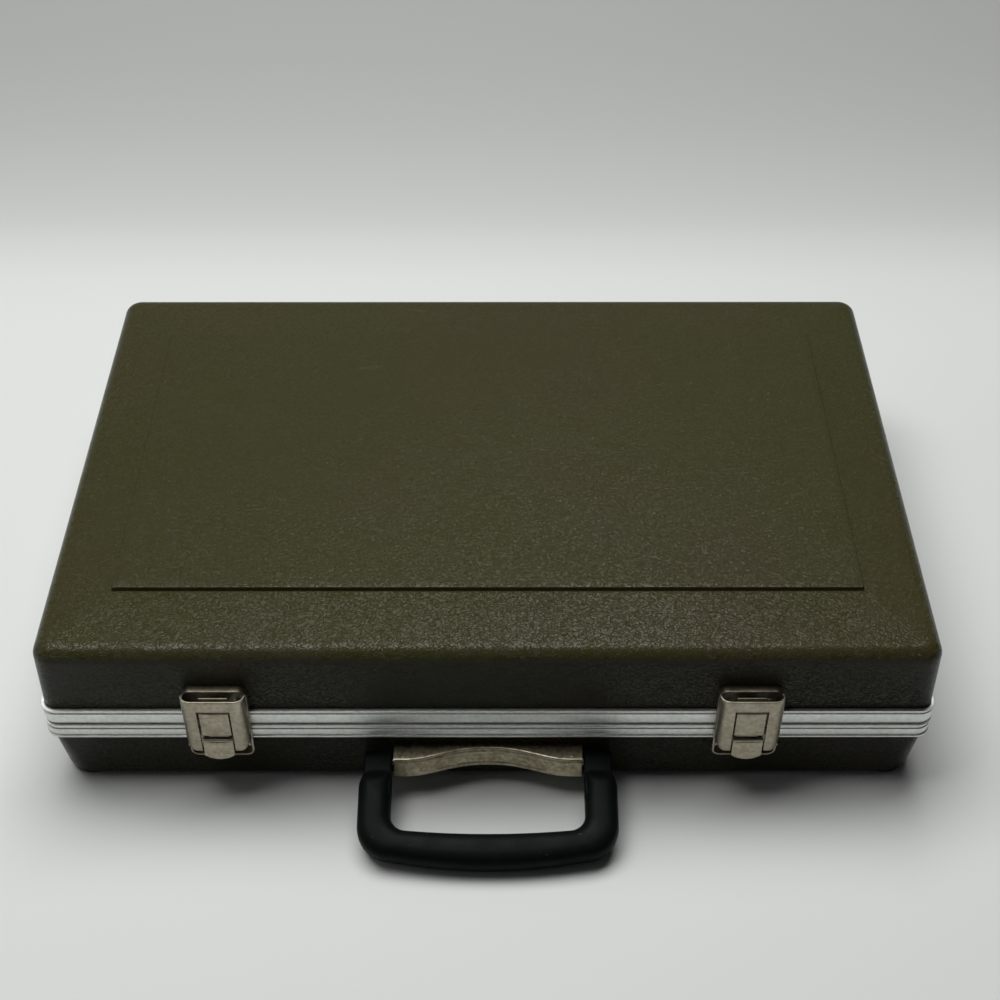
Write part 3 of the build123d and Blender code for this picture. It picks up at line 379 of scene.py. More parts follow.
def shellLook():
    v = shellValues
    look, tree, shader = newLook("grainedOliveShell")
    place = objectPlace(tree)
    tint = spread(tree, noise(tree, place, 7.0, 3.0), 0.42, 0.62)
    colour = blendColour(tree, tint, v["olive"], v["brown"])
    fine = cells(tree, place, v["grainSize"])
    # The wrinkles are longer across the case on its upright walls
    wrinkles = noise(tree, objectPlace(tree, (1, 1, 2.0)), v["wrinkleSize"], 3.0, 0.55, 0.7)
    folds = spread(tree, offMiddle(tree, wrinkles), 0.0, 0.055)
    # Thin lighter scratches: the narrow middle of a stretched noise, kept in a few places only
    scratchField = noise(tree, objectPlace(tree, (1.0, 9.0, 9.0), (0, 0, 0.7)), 9.0, 2.0, 0.5, 1.5)
    scratchLine = spread(tree, offMiddle(tree, scratchField), 0.0, 0.004, 1.0, 0.0)
    scratchPlaces = spread(tree, noise(tree, place, 22.0, 2.0), 0.60, 0.70)
    scratches = times(tree, scratchLine, scratchPlaces, v["scratches"])
    specks = spread(tree, cells(tree, place, 150.0, "F1"), 0.0, 0.11, 1.0, 0.0)
    speckPlaces = spread(tree, noise(tree, place, 60.0, 1.0), 0.66, 0.72)
    marks = reckon(tree, "MAXIMUM", scratches, times(tree, specks, speckPlaces, v["specks"]))
    # Rubbed edges: pale flecks where the lid's top turns down at its sides and its back
    x, y, z = put(tree, "ShaderNodeSeparateXYZ", {0: place}).outputs
    side = spread(tree, reckon(tree, "ABSOLUTE", x), *v["rubbedSide"])
    back = spread(tree, y, *v["rubbedBack"])
    edge = times(tree, reckon(tree, "MAXIMUM", side, back), spread(tree, z, *v["rubbedHeight"]))
    flecks = spread(tree, noise(tree, place, 330.0, 4.0, 0.7), 0.56, 0.66)
    marks = reckon(tree, "MAXIMUM", marks, times(tree, edge, flecks, v["rubbed"]))
    # A painted highlight along a crease from the panel's front right corner towards the lid's corner: near
    # the line y = turn * x - from
    away = reckon(tree, "ABSOLUTE", reckon(tree, "SUBTRACT", times(tree, x, v["creaseTurn"]),
                                           reckon(tree, "ADD", v["creaseFrom"], y)))
    along = times(tree, spread(tree, x, *v["creaseStart"]), spread(tree, x, *v["creaseEnd"]))
    onTop = times(tree, spread(tree, y, *v["creaseDepth"]), spread(tree, z, *v["creaseHeight"]))
    crease = times(tree, spread(tree, away, *v["creaseHalf"], 1.0, 0.0), times(tree, along, onTop))
    broken = spread(tree, noise(tree, place, 700.0, 3.0, 0.7), 0.42, 0.60)
    marks = reckon(tree, "MAXIMUM", marks, times(tree, crease, broken, v["crease"]))
    shader.inputs["Specular IOR Level"].default_value = v["specular"]
    gloss = spread(tree, noise(tree, place, 18.0, 4.0), 0.3, 0.7, *v["roughness"])
    normal = relief(tree, spread(tree, fine, 0.0, 0.22), v["grain"], 0.00012)
    normal = relief(tree, folds, v["wrinkles"], 0.00020, normal)
    normal = relief(tree, noise(tree, place, 11.0, 2.0), 0.15, 0.0008, normal)
    # The pale colour paints real scratches, specks and rubbed flecks, and also the painted crease highlight
    connect(tree, shader, colour=blendColour(tree, marks, colour, v["worn"]), rough=gloss, normal=normal)
    return look


metals = {
    "dullAluminium": {
        "pale": (0.80, 0.81, 0.78), "dark": (0.50, 0.505, 0.485), "warm": (0.66, 0.66, 0.61),
        "roughness": (0.40, 0.52), "brushed": 0.10, "stains": 0.35, "pits": 0.08},
    "agedNickel": {
        "pale": (0.40, 0.365, 0.285), "dark": (0.205, 0.185, 0.135), "warm": (0.33, 0.28, 0.205),
        "roughness": (0.30, 0.46), "brushed": 0.15, "stains": 0.6, "pits": 0.5},
    "wornPlating": {
        "pale": (0.60, 0.545, 0.40), "dark": (0.16, 0.13, 0.08), "warm": (0.35, 0.285, 0.165),
        "roughness": (0.34, 0.48), "brushed": 0.1, "stains": 0.6, "pits": 0.25},
    "hingeSteel": {
        "pale": (0.50, 0.50, 0.48), "dark": (0.26, 0.26, 0.25), "warm": (0.40, 0.38, 0.34),
        "roughness": (0.28, 0.42), "brushed": 0.3, "stains": 0.5, "pits": 0.3},
    "rivetSteel": {
        "pale": (0.48, 0.47, 0.43), "dark": (0.24, 0.23, 0.21), "warm": (0.38, 0.35, 0.29),
        "roughness": (0.28, 0.44), "brushed": 0.1, "stains": 0.5, "pits": 0.4},
}


def metalLook(name):
    # Plated or drawn metal: fine lines across the case, cloudy stains and small pits
    v = metals[name]
    look, tree, shader = newLook(name)
    place = objectPlace(tree)
    shader.inputs["Metallic"].default_value = 1.0
    clouds = spread(tree, noise(tree, place, 130.0, 5.0, 0.62, 0.4), 0.36, 0.66)
    patches = spread(tree, noise(tree, place, 420.0, 4.0, 0.6), 0.40, 0.64)
    lines = noise(tree, objectPlace(tree, (0.02, 1, 1)), 2600.0, 3.0, 0.7)
    colour = blendColour(tree, times(tree, clouds, v["stains"]), v["pale"], v["warm"])
    colour = blendColour(tree, times(tree, patches, v["stains"]), colour, v["dark"])
    hollow = spread(tree, cells(tree, place, 520.0, "F1"), 0.0, 0.20)
    rough = spread(tree, clouds, 0.0, 1.0, *v["roughness"])
    normal = relief(tree, lines, v["brushed"], 0.00003)
    normal = relief(tree, hollow, v["pits"], 0.00004, normal)
    connect(tree, shader, colour=colour, rough=rough, normal=normal)
    return look


handleFinish = {
    "black": (0.0042, 0.0056, 0.0056), "dusty": (0.0078, 0.0092, 0.0092), "scuffed": (0.16, 0.17, 0.17),
    "scuffs": 0.35, "roughness": (0.38, 0.52), "specular": 0.05, "bumps": 0.25,
}


def handleLook():
    v = handleFinish
    look, tree, shader = newLook("blackHandlePlastic")
    place = objectPlace(tree)
    dust = spread(tree, noise(tree, place, 45.0, 5.0, 0.65), 0.50, 0.72)
    colour = blendColour(tree, dust, v["black"], v["dusty"])
    scuffField = noise(tree, objectPlace(tree, (1, 3, 3), (0, 0, 0.5)), 95.0, 4.0, 0.7, 1.2)
    scuffs = spread(tree, scuffField, 0.66, 0.74)
    colour = blendColour(tree, times(tree, scuffs, v["scuffs"]), colour, v["scuffed"])
    rough = spread(tree, noise(tree, place, 80.0, 4.0), 0.3, 0.7, *v["roughness"])
    normal = relief(tree, noise(tree, place, 900.0, 3.0), v["bumps"], 0.0001)
    shader.inputs["Specular IOR Level"].default_value = v["specular"]
    connect(tree, shader, colour=colour, rough=rough, normal=normal)
    return look


liningFinish = {
    "dark": (0.055, 0.050, 0.034), "light": (0.085, 0.077, 0.054), "thread": (0.12, 0.11, 0.08),
    "threads": 0.4, "sheen": 0.25, "roughness": 0.85, "relief": 0.4,
}


def liningLook():
    # Cloth: two bands of threads at right angles
    v = liningFinish
    look, tree, shader = newLook("clothLining")
    place = objectPlace(tree)
    threads = [
        put(tree, "ShaderNodeTexWave", {
            "Vector": objectPlace(tree, (1, 1, 1), (0, 0, turn)), "Scale": 290.0,
            "Distortion": 1.5, "Detail": 1.0,
        }, bands_direction="X").outputs["Fac"]
        for turn in (0, math.pi / 2)
    ]
    weave = reckon(tree, "MAXIMUM", threads[0], threads[1])
    shade = spread(tree, noise(tree, place, 25.0, 4.0), 0.3, 0.7)
    colour = blendColour(tree, shade, v["dark"], v["light"])
    colour = blendColour(tree, times(tree, weave, v["threads"]), colour, v["thread"])
    shader.inputs["Sheen Weight"].default_value = v["sheen"]
    shader.inputs["Roughness"].default_value = v["roughness"]
    connect(tree, shader, colour=colour, normal=relief(tree, weave, v["relief"], 0.0002))
    return look


looks = {
    "grained_shell": shellLook(),
    "valance_metal": metalLook("dullAluminium"),
    "latch_metal": metalLook("agedNickel"),
    "bracket_metal": metalLook("wornPlating"),
    "hinge_steel": metalLook("hingeSteel"),
    "rivet_steel": metalLook("rivetSteel"),
    "handle_plastic": handleLook(),
    "lining": liningLook(),
}
for node, piece in frame["nodes"].items():
    if not piece.material_slots:
        piece.data.materials.append(looks[slotOf[node]])
    for holder in piece.material_slots:
        holder.material = looks[slotOf[node]]
print("materials made:", len(looks))


# Lid: the wall, a rolled edge, a gently rising border, and the raised panel inside it

def makeLid():
    c = case
    weights = outlineWeights(48, 32, 12)
    rolled = arc(c["lidRoll"], c["lidTop"] - c["lidRoll"], c["lidRoll"], 180, 90, 12)
    ceiling = c["lidTop"] - c["wall"]
    # Rings of the case's outline, each with its own inset and height: from the ceiling down the inside
    # of the wall, round its lower rim, up the outside and over the roll
    inset = np.concatenate([[c["lidRoll"], c["lidRoll"] - 2.4, c["wall"], c["wall"], c["wall"],
                             0.1, 0.0, 0.0], rolled[:, 0]])
    z = np.concatenate([[ceiling, ceiling - 0.3, c["lidTop"] - 7, c["lidFoot"], c["lidRim"], c["lidRim"],
                         c["lidRim"] + 0.2, c["lidFoot"]], rolled[:, 1]])
    # The corners widen from the valance up to the crown
    widening = np.clip((z - c["lidFoot"]) / (c["lidTop"] - c["lidFoot"]), 0, 1)
    corner = np.maximum(c["corner"] + (c["crownCorner"] - c["corner"]) * widening - inset, 1.2)
    walls = ringStack(weights, c["halfX"] - inset, c["halfY"] - inset, corner, z)
    # The border runs straight from the roll to the panel's foot, then up a small eased step
    share = np.array([0.06, 0.15, 0.35, 0.6, 0.85, 0.96, 0.99])
    rollX, rollY = c["halfX"] - c["lidRoll"], c["halfY"] - c["lidRoll"]
    footX, footY = c["panelHalfX"] + 0.9, c["panelHalfY"] + 0.9
    climb = c["panelFoot"] - c["lidTop"]
    border = ringStack(weights, rollX + (footX - rollX) * share, rollY + (footY - rollY) * share,
                       c["crownCorner"] - c["lidRoll"] - 1.1 * share, c["lidTop"] + climb * share,
                       c["panelShift"] * share)
    outward = np.array([0.5, 0.3, 0.12, 0.0, -0.1, -0.45, -1.1, -4.0])
    rise = c["panelRise"] * np.array([0.0, -0.05, 0.075, 0.375, 0.75, 0.95, 1.0, 1.0])
    step = ringStack(weights, c["panelHalfX"] + outward, c["panelHalfY"] + outward,
                     np.maximum(1.2 + outward, 0.4), c["panelFoot"] + rise, c["panelShift"])
    points = np.concatenate([walls, border, step])
    lid = newPiece("lidShellGrained", points, ringFaces(points), looks["grained_shell"], 40)
    settle(lid, "lid", "grained_shell", "lid_shell")


# Base: a tub with drafted walls, a rolled bottom edge and four low round feet moulded at the corners

def makeBase():
    c = case
    weights = outlineWeights(48, 32, 16)
    slope = math.tan(math.radians(c["draft"]))
    rollTop = c["floor"] + c["tubRoll"]
    inAtRoll = c["tubSetback"] + (c["tubTop"] - rollTop) * slope
    rolled = arc(inAtRoll + c["tubRoll"], rollTop, c["tubRoll"], 270, 180, 12)
    # Rings of the case's outline again: from the underside over the roll, up the outside to the rim,
    # and down the inside to the floor
    inset = np.concatenate([[c["floorInset"]], rolled[:, 0],
                            [c["tubSetback"], 0.25, 0.0, 0.0, c["wall"], c["wall"],
                             c["wall"] + c["tubSetback"], c["wall"] + inAtRoll, c["innerFoot"],
                             c["floorInset"]]])
    z = np.concatenate([[c["floor"]], rolled[:, 1],
                        [c["tubTop"], 36.2, c["rimFoot"], c["tubRim"], c["tubRim"], c["rimFoot"],
                         c["tubTop"], rollTop, c["innerFloor"], c["innerFloor"]]])
    # The corners widen from the rim down to the floor
    widening = np.clip((c["tubTop"] - z) / (c["tubTop"] - c["floor"]), 0, 1)
    corner = np.maximum(c["corner"] + (c["tubFootCorner"] - c["corner"]) * widening ** 1.5 - inset, 1.5)
    tub = ringStack(weights, c["halfX"] - inset, c["halfY"] - inset, corner, z)
    parts = [newPiece("tub", tub, ringFaces(tub), looks["grained_shell"], 40)]
    # A foot is a disc with a rounded lower rim, turned about its own upright axis
    eased = arc(c["footRadius"] - c["footRim"], c["footRim"], c["footRim"], 270, 360, 7)
    line = np.concatenate([[[0.0, 0.0]], eased, [[c["footRadius"], c["footTop"]]]])
    spokes = 48
    faces = list(gridQuads(len(line), spokes, wrapCols=True)) + [np.arange(spokes) + (len(line) - 1) * spokes]
    for signX in (-1, 1):
        for signY in (-1, 1):
            centreX = signX * (c["halfX"] - c["tubSetback"] - c["footInset"])
            centreY = signY * (c["halfY"] - c["tubSetback"] - c["footInset"])
            foot = turned(line, centreX, centreY, spokes)
            parts.append(newPiece("foot", foot, faces, looks["grained_shell"], 40))
    settle(joinPieces("baseShellGrained", parts), "base", "grained_shell", "base_shell")


# Valances: each drawn section, with eased corners, carried round the case to the joint at the back.
# Section points are (distance outside the shells, height).

valances = {
    "lid": [(-3.7, 45.15), (0.9, 45.15), (0.9, 46.85), (1.7, 47.15), (1.7, 53.0), (1.1, 53.3), (1.1, 54.4),
            (2.0, 54.7), (2.0, 55.8), (0.1, 55.8), (0.1, 46.35), (-2.7, 46.35), (-2.7, 54.35), (-3.7, 54.35)],
    "base": [(-4.1, 47.85), (-5.1, 47.85), (-5.1, 43.65), (-3.7, 43.65), (-3.7, 37.55), (-2.7, 37.55),
             (-2.7, 43.65), (0.1, 43.65), (0.1, 35.5), (2.0, 35.5), (2.0, 36.6), (1.1, 36.9), (1.1, 37.7),
             (1.7, 38.0), (1.7, 41.55), (1.1, 41.85), (1.1, 43.55), (2.0, 43.85), (2.0, 44.85),
             (-4.1, 44.85)],
}


def makeValance(side):
    c = case
    section = easedLoop(valances[side], 0.22, 4)
    weights = outlineWeights(60, 40, 14, gap=0.2 / (c["halfX"] - c["corner"]))
    outward = section[:, 0]
    points = ringStack(weights, c["halfX"] + outward, c["halfY"] + outward, c["corner"] + outward,
                       section[:, 1])
    piece = newPiece(side + "ValanceDrawn", points, sectionFaces(points), looks["valance_metal"], 38)
    settle(piece, side, "valance_metal", side + "_valance")


makeLid()
makeBase()
makeValance("lid")
makeValance("base")
print("shells and valances made")


# Latches: hook frame, lever and keeper, drawn in (distance in front of the valance, height)

latch = {
    "places": {"left": -133.65, "right": 128.85}, "front": 8.5, "metal": 1.1,
    "frameHalf": 15.0, "frameTop": 72.3, "frameFoot": 35.5, "bend": 4.0, "skirt": (5.1, 5.2), "crown": 0.22,
    "leanFrom": 69.5, "lean": 0.45, "earOuter": 13.4, "footRound": 4.5, "windowHalf": 8.1, "windowTop": 65.1,
    "leverHalf": 7.45, "leverCrown": 0.18, "leverTip": 30.0, "tipRound": 11.0, "cheek": 1.0,
    "keeperHalf": 7.3, "keeperCrown": 0.25, "strap": 1.0, "drawPin": (4.439, 36.843), "leverPin": (5.6, 41.5),
}


def makeHookFrame(side, x):
    v = latch
    # Across: the flat front, then a bend at each side, a quarter ellipse as wide and deep as the skirt.
    # Up: from the rounded feet to the window's head, then to the top.
    window, flat = v["windowHalf"], v["frameHalf"] - v["bend"]
    bend = (arc(0.0, 0.0, 1.0, 5, 90, 11) * v["skirt"] + (flat, v["front"] - v["skirt"][1]))[::-1]
    across = np.concatenate([-bend[::-1, 0], np.linspace(-flat, -window, 5)[1:],
                             np.linspace(-window, window, 13)[1:], np.linspace(window, flat, 5)[1:],
                             bend[1:, 0]])
    crown = v["crown"] * (1 - (across / v["frameHalf"]) ** 2)
    forward = np.interp(np.abs(across), bend[:, 0], bend[:, 1]) + crown
    beyond = np.clip(np.abs(across) - (v["frameHalf"] - v["footRound"]), 0, v["footRound"])
    foot = v["frameFoot"] + v["footRound"] - np.sqrt(v["footRound"] ** 2 - beyond ** 2)
    low, high = np.linspace(0, 1, 15)[:, None], np.linspace(0, 1, 6)[1:, None]
    z = np.concatenate([foot + (v["windowTop"] - foot) * low,
                        v["windowTop"] + (v["frameTop"] - v["windowTop"]) * high + 0 * foot])
    # The head leans back a little towards its top edge
    lean = v["lean"] * np.clip((z - v["leanFrom"]) / (v["frameTop"] - v["leanFrom"]), 0, 1) ** 2
    points = np.stack([x + across + 0 * z, -frontFace - (forward - lean), z], -1)
    rows, cols = z.shape
    quads = gridQuads(rows, cols).reshape(rows - 1, cols - 1, 4)
    middle = (across[:-1] + across[1:]) / 2
    inWindow = (np.arange(rows - 1)[:, None] < len(low) - 1) & (np.abs(middle)[None] < window)
    sheet = newPiece("sheet", points, list(quads[~inWindow]), looks["latch_metal"])
    faceFront(sheet)
    solid = sheet.modifiers.new("thickness", "SOLIDIFY")
    solid.thickness, solid.offset, solid.use_even_offset = v["metal"] * mm, -1, True
    solid.use_rim = True
    roundEdges(sheet, 0.32, 3)
    parts = [sheet]
    pinT, pinZ = v["drawPin"]
    for sign in (-1, 1):
        outer = x + sign * v["earOuter"]
        ear = discHull([(pinT, pinZ, 2.1), (5.4, pinZ + 4.2, 1.1), (5.8, pinZ + 1.0, 0.9),
                        (5.6, pinZ + 12.0, 0.9)])
        plate = prism("ear", sorted((outer, outer - sign * v["metal"])), ear, looks["latch_metal"])
        roundEdges(plate, 0.25, 2)
        parts.append(plate)
    settle(joinPieces("hookFrame_" + side, parts), "hasp_" + side, "latch_metal", "hasp_" + side)


def faceFront(piece):
    # An open sheet is turned so that most of it faces the front
    normals = np.zeros(len(piece.data.polygons) * 3)
    piece.data.polygons.foreach_get("normal", normals)
    if normals.reshape(-1, 3)[:, 1].sum() > 0:
        piece.data.flip_normals()


def makeLever(side, x):
    v = latch
    half, pinZ = v["leverHalf"], v["drawPin"][1]
    bead = arc(8.1, 43.5, 0.8, 150, -75, 10)
    # From the bead at the window's foot down the front, round the lip and up the back
    loop = np.concatenate([bead, [(8.05, 42.5), (8.15, 42.0), (8.5, 41.5), (8.5, pinZ), (8.8, 33.5),
                                  (9.3, 30.9), (9.35, 30.2), (9.0, 30.0), (8.5, 30.3), (8.35, 31.0),
                                  (7.85, 33.5), (7.5, pinZ), (7.45, 43.6)]])
    across = np.concatenate([[-half, -half + 0.1], np.linspace(-half + 0.6, half - 0.6, 21),
                             [half - 0.1, half]])
    # The lower edge is an arc of a circle, so each column is shortened below the draw pin
    tip = v["leverTip"] + v["tipRound"] - np.sqrt(v["tipRound"] ** 2 - across ** 2)
    share = (pinZ - tip) / (pinZ - v["leverTip"])
    height, share = loop[:, 1], share[:, None]
    z = np.where(height < pinZ, pinZ - (pinZ - height) * share, height + 0 * share)
    # The front below the bead bulges by a parabola across
    crown = v["leverCrown"] * (1 - (across / half) ** 2)[:, None]
    loops = np.stack([loop[:, 0] + crown * (height < 42.3), z], -1)
    skin = prism("skin", x + across, loops, looks["latch_metal"], 50)
    roundEdges(skin, 0.22, 2)
    parts = [skin]
    for sign in (-1, 1):
        outer = x + sign * half
        cheek = discHull([(*v["leverPin"], 1.8), (*v["drawPin"], 1.8), (7.6, v["leverPin"][1], 0.5),
                          (7.6, 35.2, 0.5)])
        plate = prism("cheek", sorted((outer, outer - sign * v["cheek"])), cheek, looks["latch_metal"])
        roundEdges(plate, 0.2, 2)
        parts.append(plate)
    settle(joinPieces("leverFinished_" + side, parts), "lever_" + side, "latch_metal", "lever_" + side)


def makeKeeper(side, x):
    # A strap: out from its foot, up behind the window, back over a rounded shoulder, and up again to
    # the lip that shows in the well. Its front bulges by a parabola across.
    path = easedLoop([(1.5, 56.0), (1.5, 46.3), (7.45, 46.3), (7.45, 63.0), (3.9, 64.7), (3.5, 70.0)],
                     (0.0, 1.2, 1.0, 1.3, 1.6, 0.0), 9, closed=False)
    keep = np.concatenate([[True], np.linalg.norm(np.diff(path, axis=0), axis=1) > 1e-6])
    loop = ribbonLoop(path[keep], latch["strap"])
    half = latch["keeperHalf"]
    across = np.linspace(-half, half, 17)
    crown = latch["keeperCrown"] * (1 - (across / half) ** 2)[:, None]
    loops = np.stack([loop[:, 0] + crown * (loop[:, 0] > 5.0), loop[:, 1] + 0 * crown], -1)
    strap = prism("keeperFinished_" + side, x + across, loops, looks["latch_metal"], 50)
    roundEdges(strap, 0.22, 2)
    settle(strap, "lid", "latch_metal", "keeper_" + side)


for side, x in latch["places"].items():
    makeHookFrame(side, x)
    makeLever(side, x)
    makeKeeper(side, x)
    softenedNode("catch_plate_" + side, looks["latch_metal"], 0.45, 3)
    softenedNode("latch_base_plate_" + side, looks["latch_metal"], 0.28, 2)
print("latches made")


# Handle bracket: a stamped block, bowed in towards the case at its middle, with a bead, a ridge and a
# shallow bare panel, given as its left, right, foot and top

bracket = {
    "half": 47.5, "foot": 13.0, "top": 28.0, "reach": 8.5, "waist": 1.0, "quarter": (16.0, 2.8),
    "slope": 0.235, "flatFrom": 41.5, "panel": (-27.0, 30.0, 15.4, 22.6), "panelDepth": 0.4,
    "dimples": 42.5, "dimpleOut": 6.1,
}


def smoothStep(value, low, high):
    t = np.clip((value - low) / (high - low), 0, 1)
    return t * t * (3 - 2 * t)


def bracketFront(x):
    # Two cubic pieces each side: flat at the middle and at the ends, with one slope where they meet
    v = bracket
    x, (q, atQuarter), slope = np.abs(x), v["quarter"], v["slope"]
    span = v["flatFrom"] - q
    s, t = np.clip(x / q, 0, 1), np.clip((x - q) / span, 0, 1)
    nearMiddle = ((2 * s ** 3 - 3 * s ** 2 + 1) * v["waist"] + (3 * s ** 2 - 2 * s ** 3) * atQuarter
                  + (s ** 3 - s ** 2) * slope * q)
    nearEnd = ((2 * t ** 3 - 3 * t ** 2 + 1) * atQuarter + (t ** 3 - 2 * t ** 2 + t) * slope * span
               + (3 * t ** 2 - 2 * t ** 3) * v["reach"])
    return np.where(x < q, nearMiddle, nearEnd)


def makeBracket():
    v = bracket
    foot, top = v["foot"], v["top"]
    nearEnds = [0.2 - v["half"], v["half"] - 0.2]
    x = np.unique(np.concatenate([np.linspace(-v["half"], v["half"], 96), nearEnds]))
    # (distance behind the front line, height): an eased foot, the flat face, the bead, a groove and the ridge
    front = np.array([(1.6, foot), (1.05, 13.2), (0.75, 13.7)]
                     + [(0.7, height) for height in np.arange(14.2, 24.0, 0.35)]
                     + [(0.7, 24.2), (0.45, 24.45), (0.3, 24.8), (0.28, 25.1), (0.38, 25.45), (0.62, 25.7)]
                     + [(0.7, 26.1), (0.6, 26.45), (0.2, 26.7), (0.02, 27.0), (0.0, 27.35), (0.15, 27.7)]
                     + [(0.5, 27.95), (1.1, top)])
    depth = bracketFront(x)[:, None] - front[:, 0]
    left, right, low, high = v["panel"]
    inPanel = smoothStep(x, left, left + 1.2) * smoothStep(-x, -right, -right + 1.2)
    inHeight = smoothStep(front[:, 1], low, low + 0.8) * smoothStep(-front[:, 1], -high, -high + 0.8)
    depth = depth - v["panelDepth"] * inPanel[:, None] * inHeight
    # The block's back lies on the tub's wall, which slopes
    atFoot, atTop = np.full((len(x), 1), -3.6), np.full((len(x), 1), -2.8)
    heights = np.concatenate([[foot], front[:, 1], [top]])
    loops = np.stack([np.concatenate([atFoot, depth, atTop], 1),
                      np.broadcast_to(heights, (len(x), len(heights)))], -1)
    block = prism("block", x, loops, looks["bracket_metal"], 50)
    roundEdges(block, 0.5, 3, 60)
    parts = [block]
    # A dimple is a low dome turned about an upright axis
    dome = arc(0.0, 27.2, 1.15, 40, 89, 6)
    for sign in (-1, 1):
        points = turned(dome, sign * v["dimples"], -frontFace - v["dimpleOut"], 24)
        parts.append(newPiece("dimple", points, ringFaces(points), looks["bracket_metal"], 50))
    settle(joinPieces("bracketStamped", parts), "base", "bracket_metal", "handle_bracket")


# Handle: the space between an inner and an outer U, filled by a rounded section, with a flat tab at each
# pivot. A U is its half width, reach, bow and corner radius; a seam is at an angle round the section.

handle = {
    "pivot": (-frontFace - 3.9, 21.0), "tilt": 15.037,
    "inner": (48.3, 39.3, 1.6, 8.5), "outer": (64.8, 56.7, 4.6, 17.0), "thickness": 16.0, "shoulder": 6.0,
    "squareness": 2.7, "neckSquareness": 4.5, "endRound": 2.4, "flare": (6.5, 14.5), "neck": (2.6, 2.7),
    "seam": 0.28, "seamWidth": 0.035, "seamsAt": (312, 210),
    "tab": (48.4, 62.3), "tabHalf": 5.4, "tabReach": 12.0, "tabEase": 0.9,
}


def handlePlace(across, along, lift):
    # From the handle's own plane, tilted at its pivots, to the case
    a = math.radians(handle["tilt"])
    y = handle["pivot"][0] - along * math.cos(a) - lift * math.sin(a)
    z = handle["pivot"][1] - along * math.sin(a) + lift * math.cos(a)
    return np.stack(np.broadcast_arrays(across, y, z), -1)


def uLine(half, reach, bow, corner, shoulder):
    # One half, from the shoulder to the middle of the grip, and its mirror: a straight arm, a quarter
    # turn, and a shallow bow reach - bow * (x / half) ** 2
    arm = np.stack([np.full(17, half), np.linspace(shoulder, reach - bow - corner, 17)], 1)
    a = np.linspace(0, math.pi / 2, 15)[1:]
    bend = np.stack([half - corner + corner * np.cos(a), reach - bow - corner + corner * np.sin(a)], 1)
    t = np.linspace(1, 0, 15)[1:]
    grip = np.stack([(half - corner) * t, reach - bow * t ** 2], 1)
    line = np.concatenate([arm, bend, grip])
    easing = np.clip((line[:, 1] - (reach - bow - 1)) / 1.0, 0, 1)
    line[:, 1] = np.minimum(line[:, 1], reach - bow * (line[:, 0] / half) ** 2 * easing)
    return np.concatenate([line * (-1, 1), line[-2::-1]])


def makeGrip():
    # At each place along the U, the section is (|cos a| ** p, |sin a| ** p) with its signs, where
    # p = 2 / squareness, stretched from the inner line to the outer one and to the handle's thickness.
    # The squareness grows towards the tabs.
    v = handle
    outer, inner = uLine(*v["outer"], v["shoulder"]), uLine(*v["inner"], v["shoulder"])
    halfThick = v["thickness"] / 2
    turnAngles = np.linspace(0, 2 * math.pi, 72, endpoint=False)
    # The mould's seam: a fine groove round the grip, low on its outer side and on its inner side
    groove = sum(np.exp(-((turnAngles - math.radians(at)) / v["seamWidth"]) ** 2) for at in v["seamsAt"])
    squeeze = 1 - v["seam"] / halfThick * groove
    # Each arm's end is rounded off by a quarter circle
    ends = np.linspace(0, math.pi / 2, 7)[:-1]
    shrink = 1 - v["endRound"] / halfThick * (1 - np.sin(ends))
    scale = np.concatenate([shrink, np.ones(len(outer)), shrink[::-1]])
    push = -v["endRound"] * np.cos(ends)
    offset = np.concatenate([push, np.zeros(len(outer)), push[::-1]])
    outer, inner = [np.pad(line, ((len(ends), len(ends)), (0, 0)), "edge") for line in (outer, inner)]
    # Each arm grows out of its tab: narrower on its outer side and thinner up to the flare's end
    slim = 1 - smoothStep(outer[:, 1], *v["flare"])
    outer[:, 0] -= np.sign(outer[:, 0]) * v["neck"][0] * slim
    centre, half = (outer + inner) / 2, (outer - inner) / 2
    thick = halfThick - v["neck"][1] * slim
    power = 2 / (v["squareness"] + v["neckSquareness"] * slim[:, None])
    wide = np.sign(np.cos(turnAngles)) * np.abs(np.cos(turnAngles)) ** power
    high = np.sign(np.sin(turnAngles)) * np.abs(np.sin(turnAngles)) ** power
    flat = centre[:, None] + half[:, None] * (wide * squeeze)[:, :, None] * scale[:, None, None]
    along = flat[..., 1] + offset[:, None]
    lift = thick[:, None] * high * squeeze * scale[:, None]
    points = handlePlace(flat[..., 0], along, lift)
    return newPiece("grip", points, ringFaces(points), looks["handle_plastic"], 50)


def makeTab(sign):
    # A flat bar with a half-round end about the pivot, its edges eased by quarter circles
    v = handle
    bar = discHull([(0, 0, v["tabHalf"]), (v["tabReach"] + 6, 0, v["tabHalf"])], 64)
    ease = np.linspace(0, math.pi / 2, 5)
    cut, shift = v["tabEase"] * (1 - np.sin(ease)), v["tabEase"] * (1 - np.cos(ease))
    cut = np.concatenate([cut, cut[::-1]])
    place = np.concatenate([v["tab"][0] + shift, v["tab"][1] - shift[::-1]])
    middle = np.array([v["tabReach"] / 2, 0.0])
    halves = np.array([v["tabReach"] / 2 + 6, v["tabHalf"]])
    loop = middle + (bar - middle) * (1 - cut[:, None, None] / halves)
    points = handlePlace(sign * place[:, None], loop[..., 0], loop[..., 1])
    return newPiece("tab", points, ringFaces(points), looks["handle_plastic"], 50)


makeBracket()
handlePieces = [makeGrip(), makeTab(-1), makeTab(1)]
settle(joinPieces("handleMoulded", handlePieces), "handle", "handle_plastic", "handle")
for side in ("left", "right"):
    for node in ("hinge_lid_leaf_", "hinge_base_leaf_"):
        softenedNode(node + side, looks["hinge_steel"], 0.16)
print("bracket, handle and hinges made")
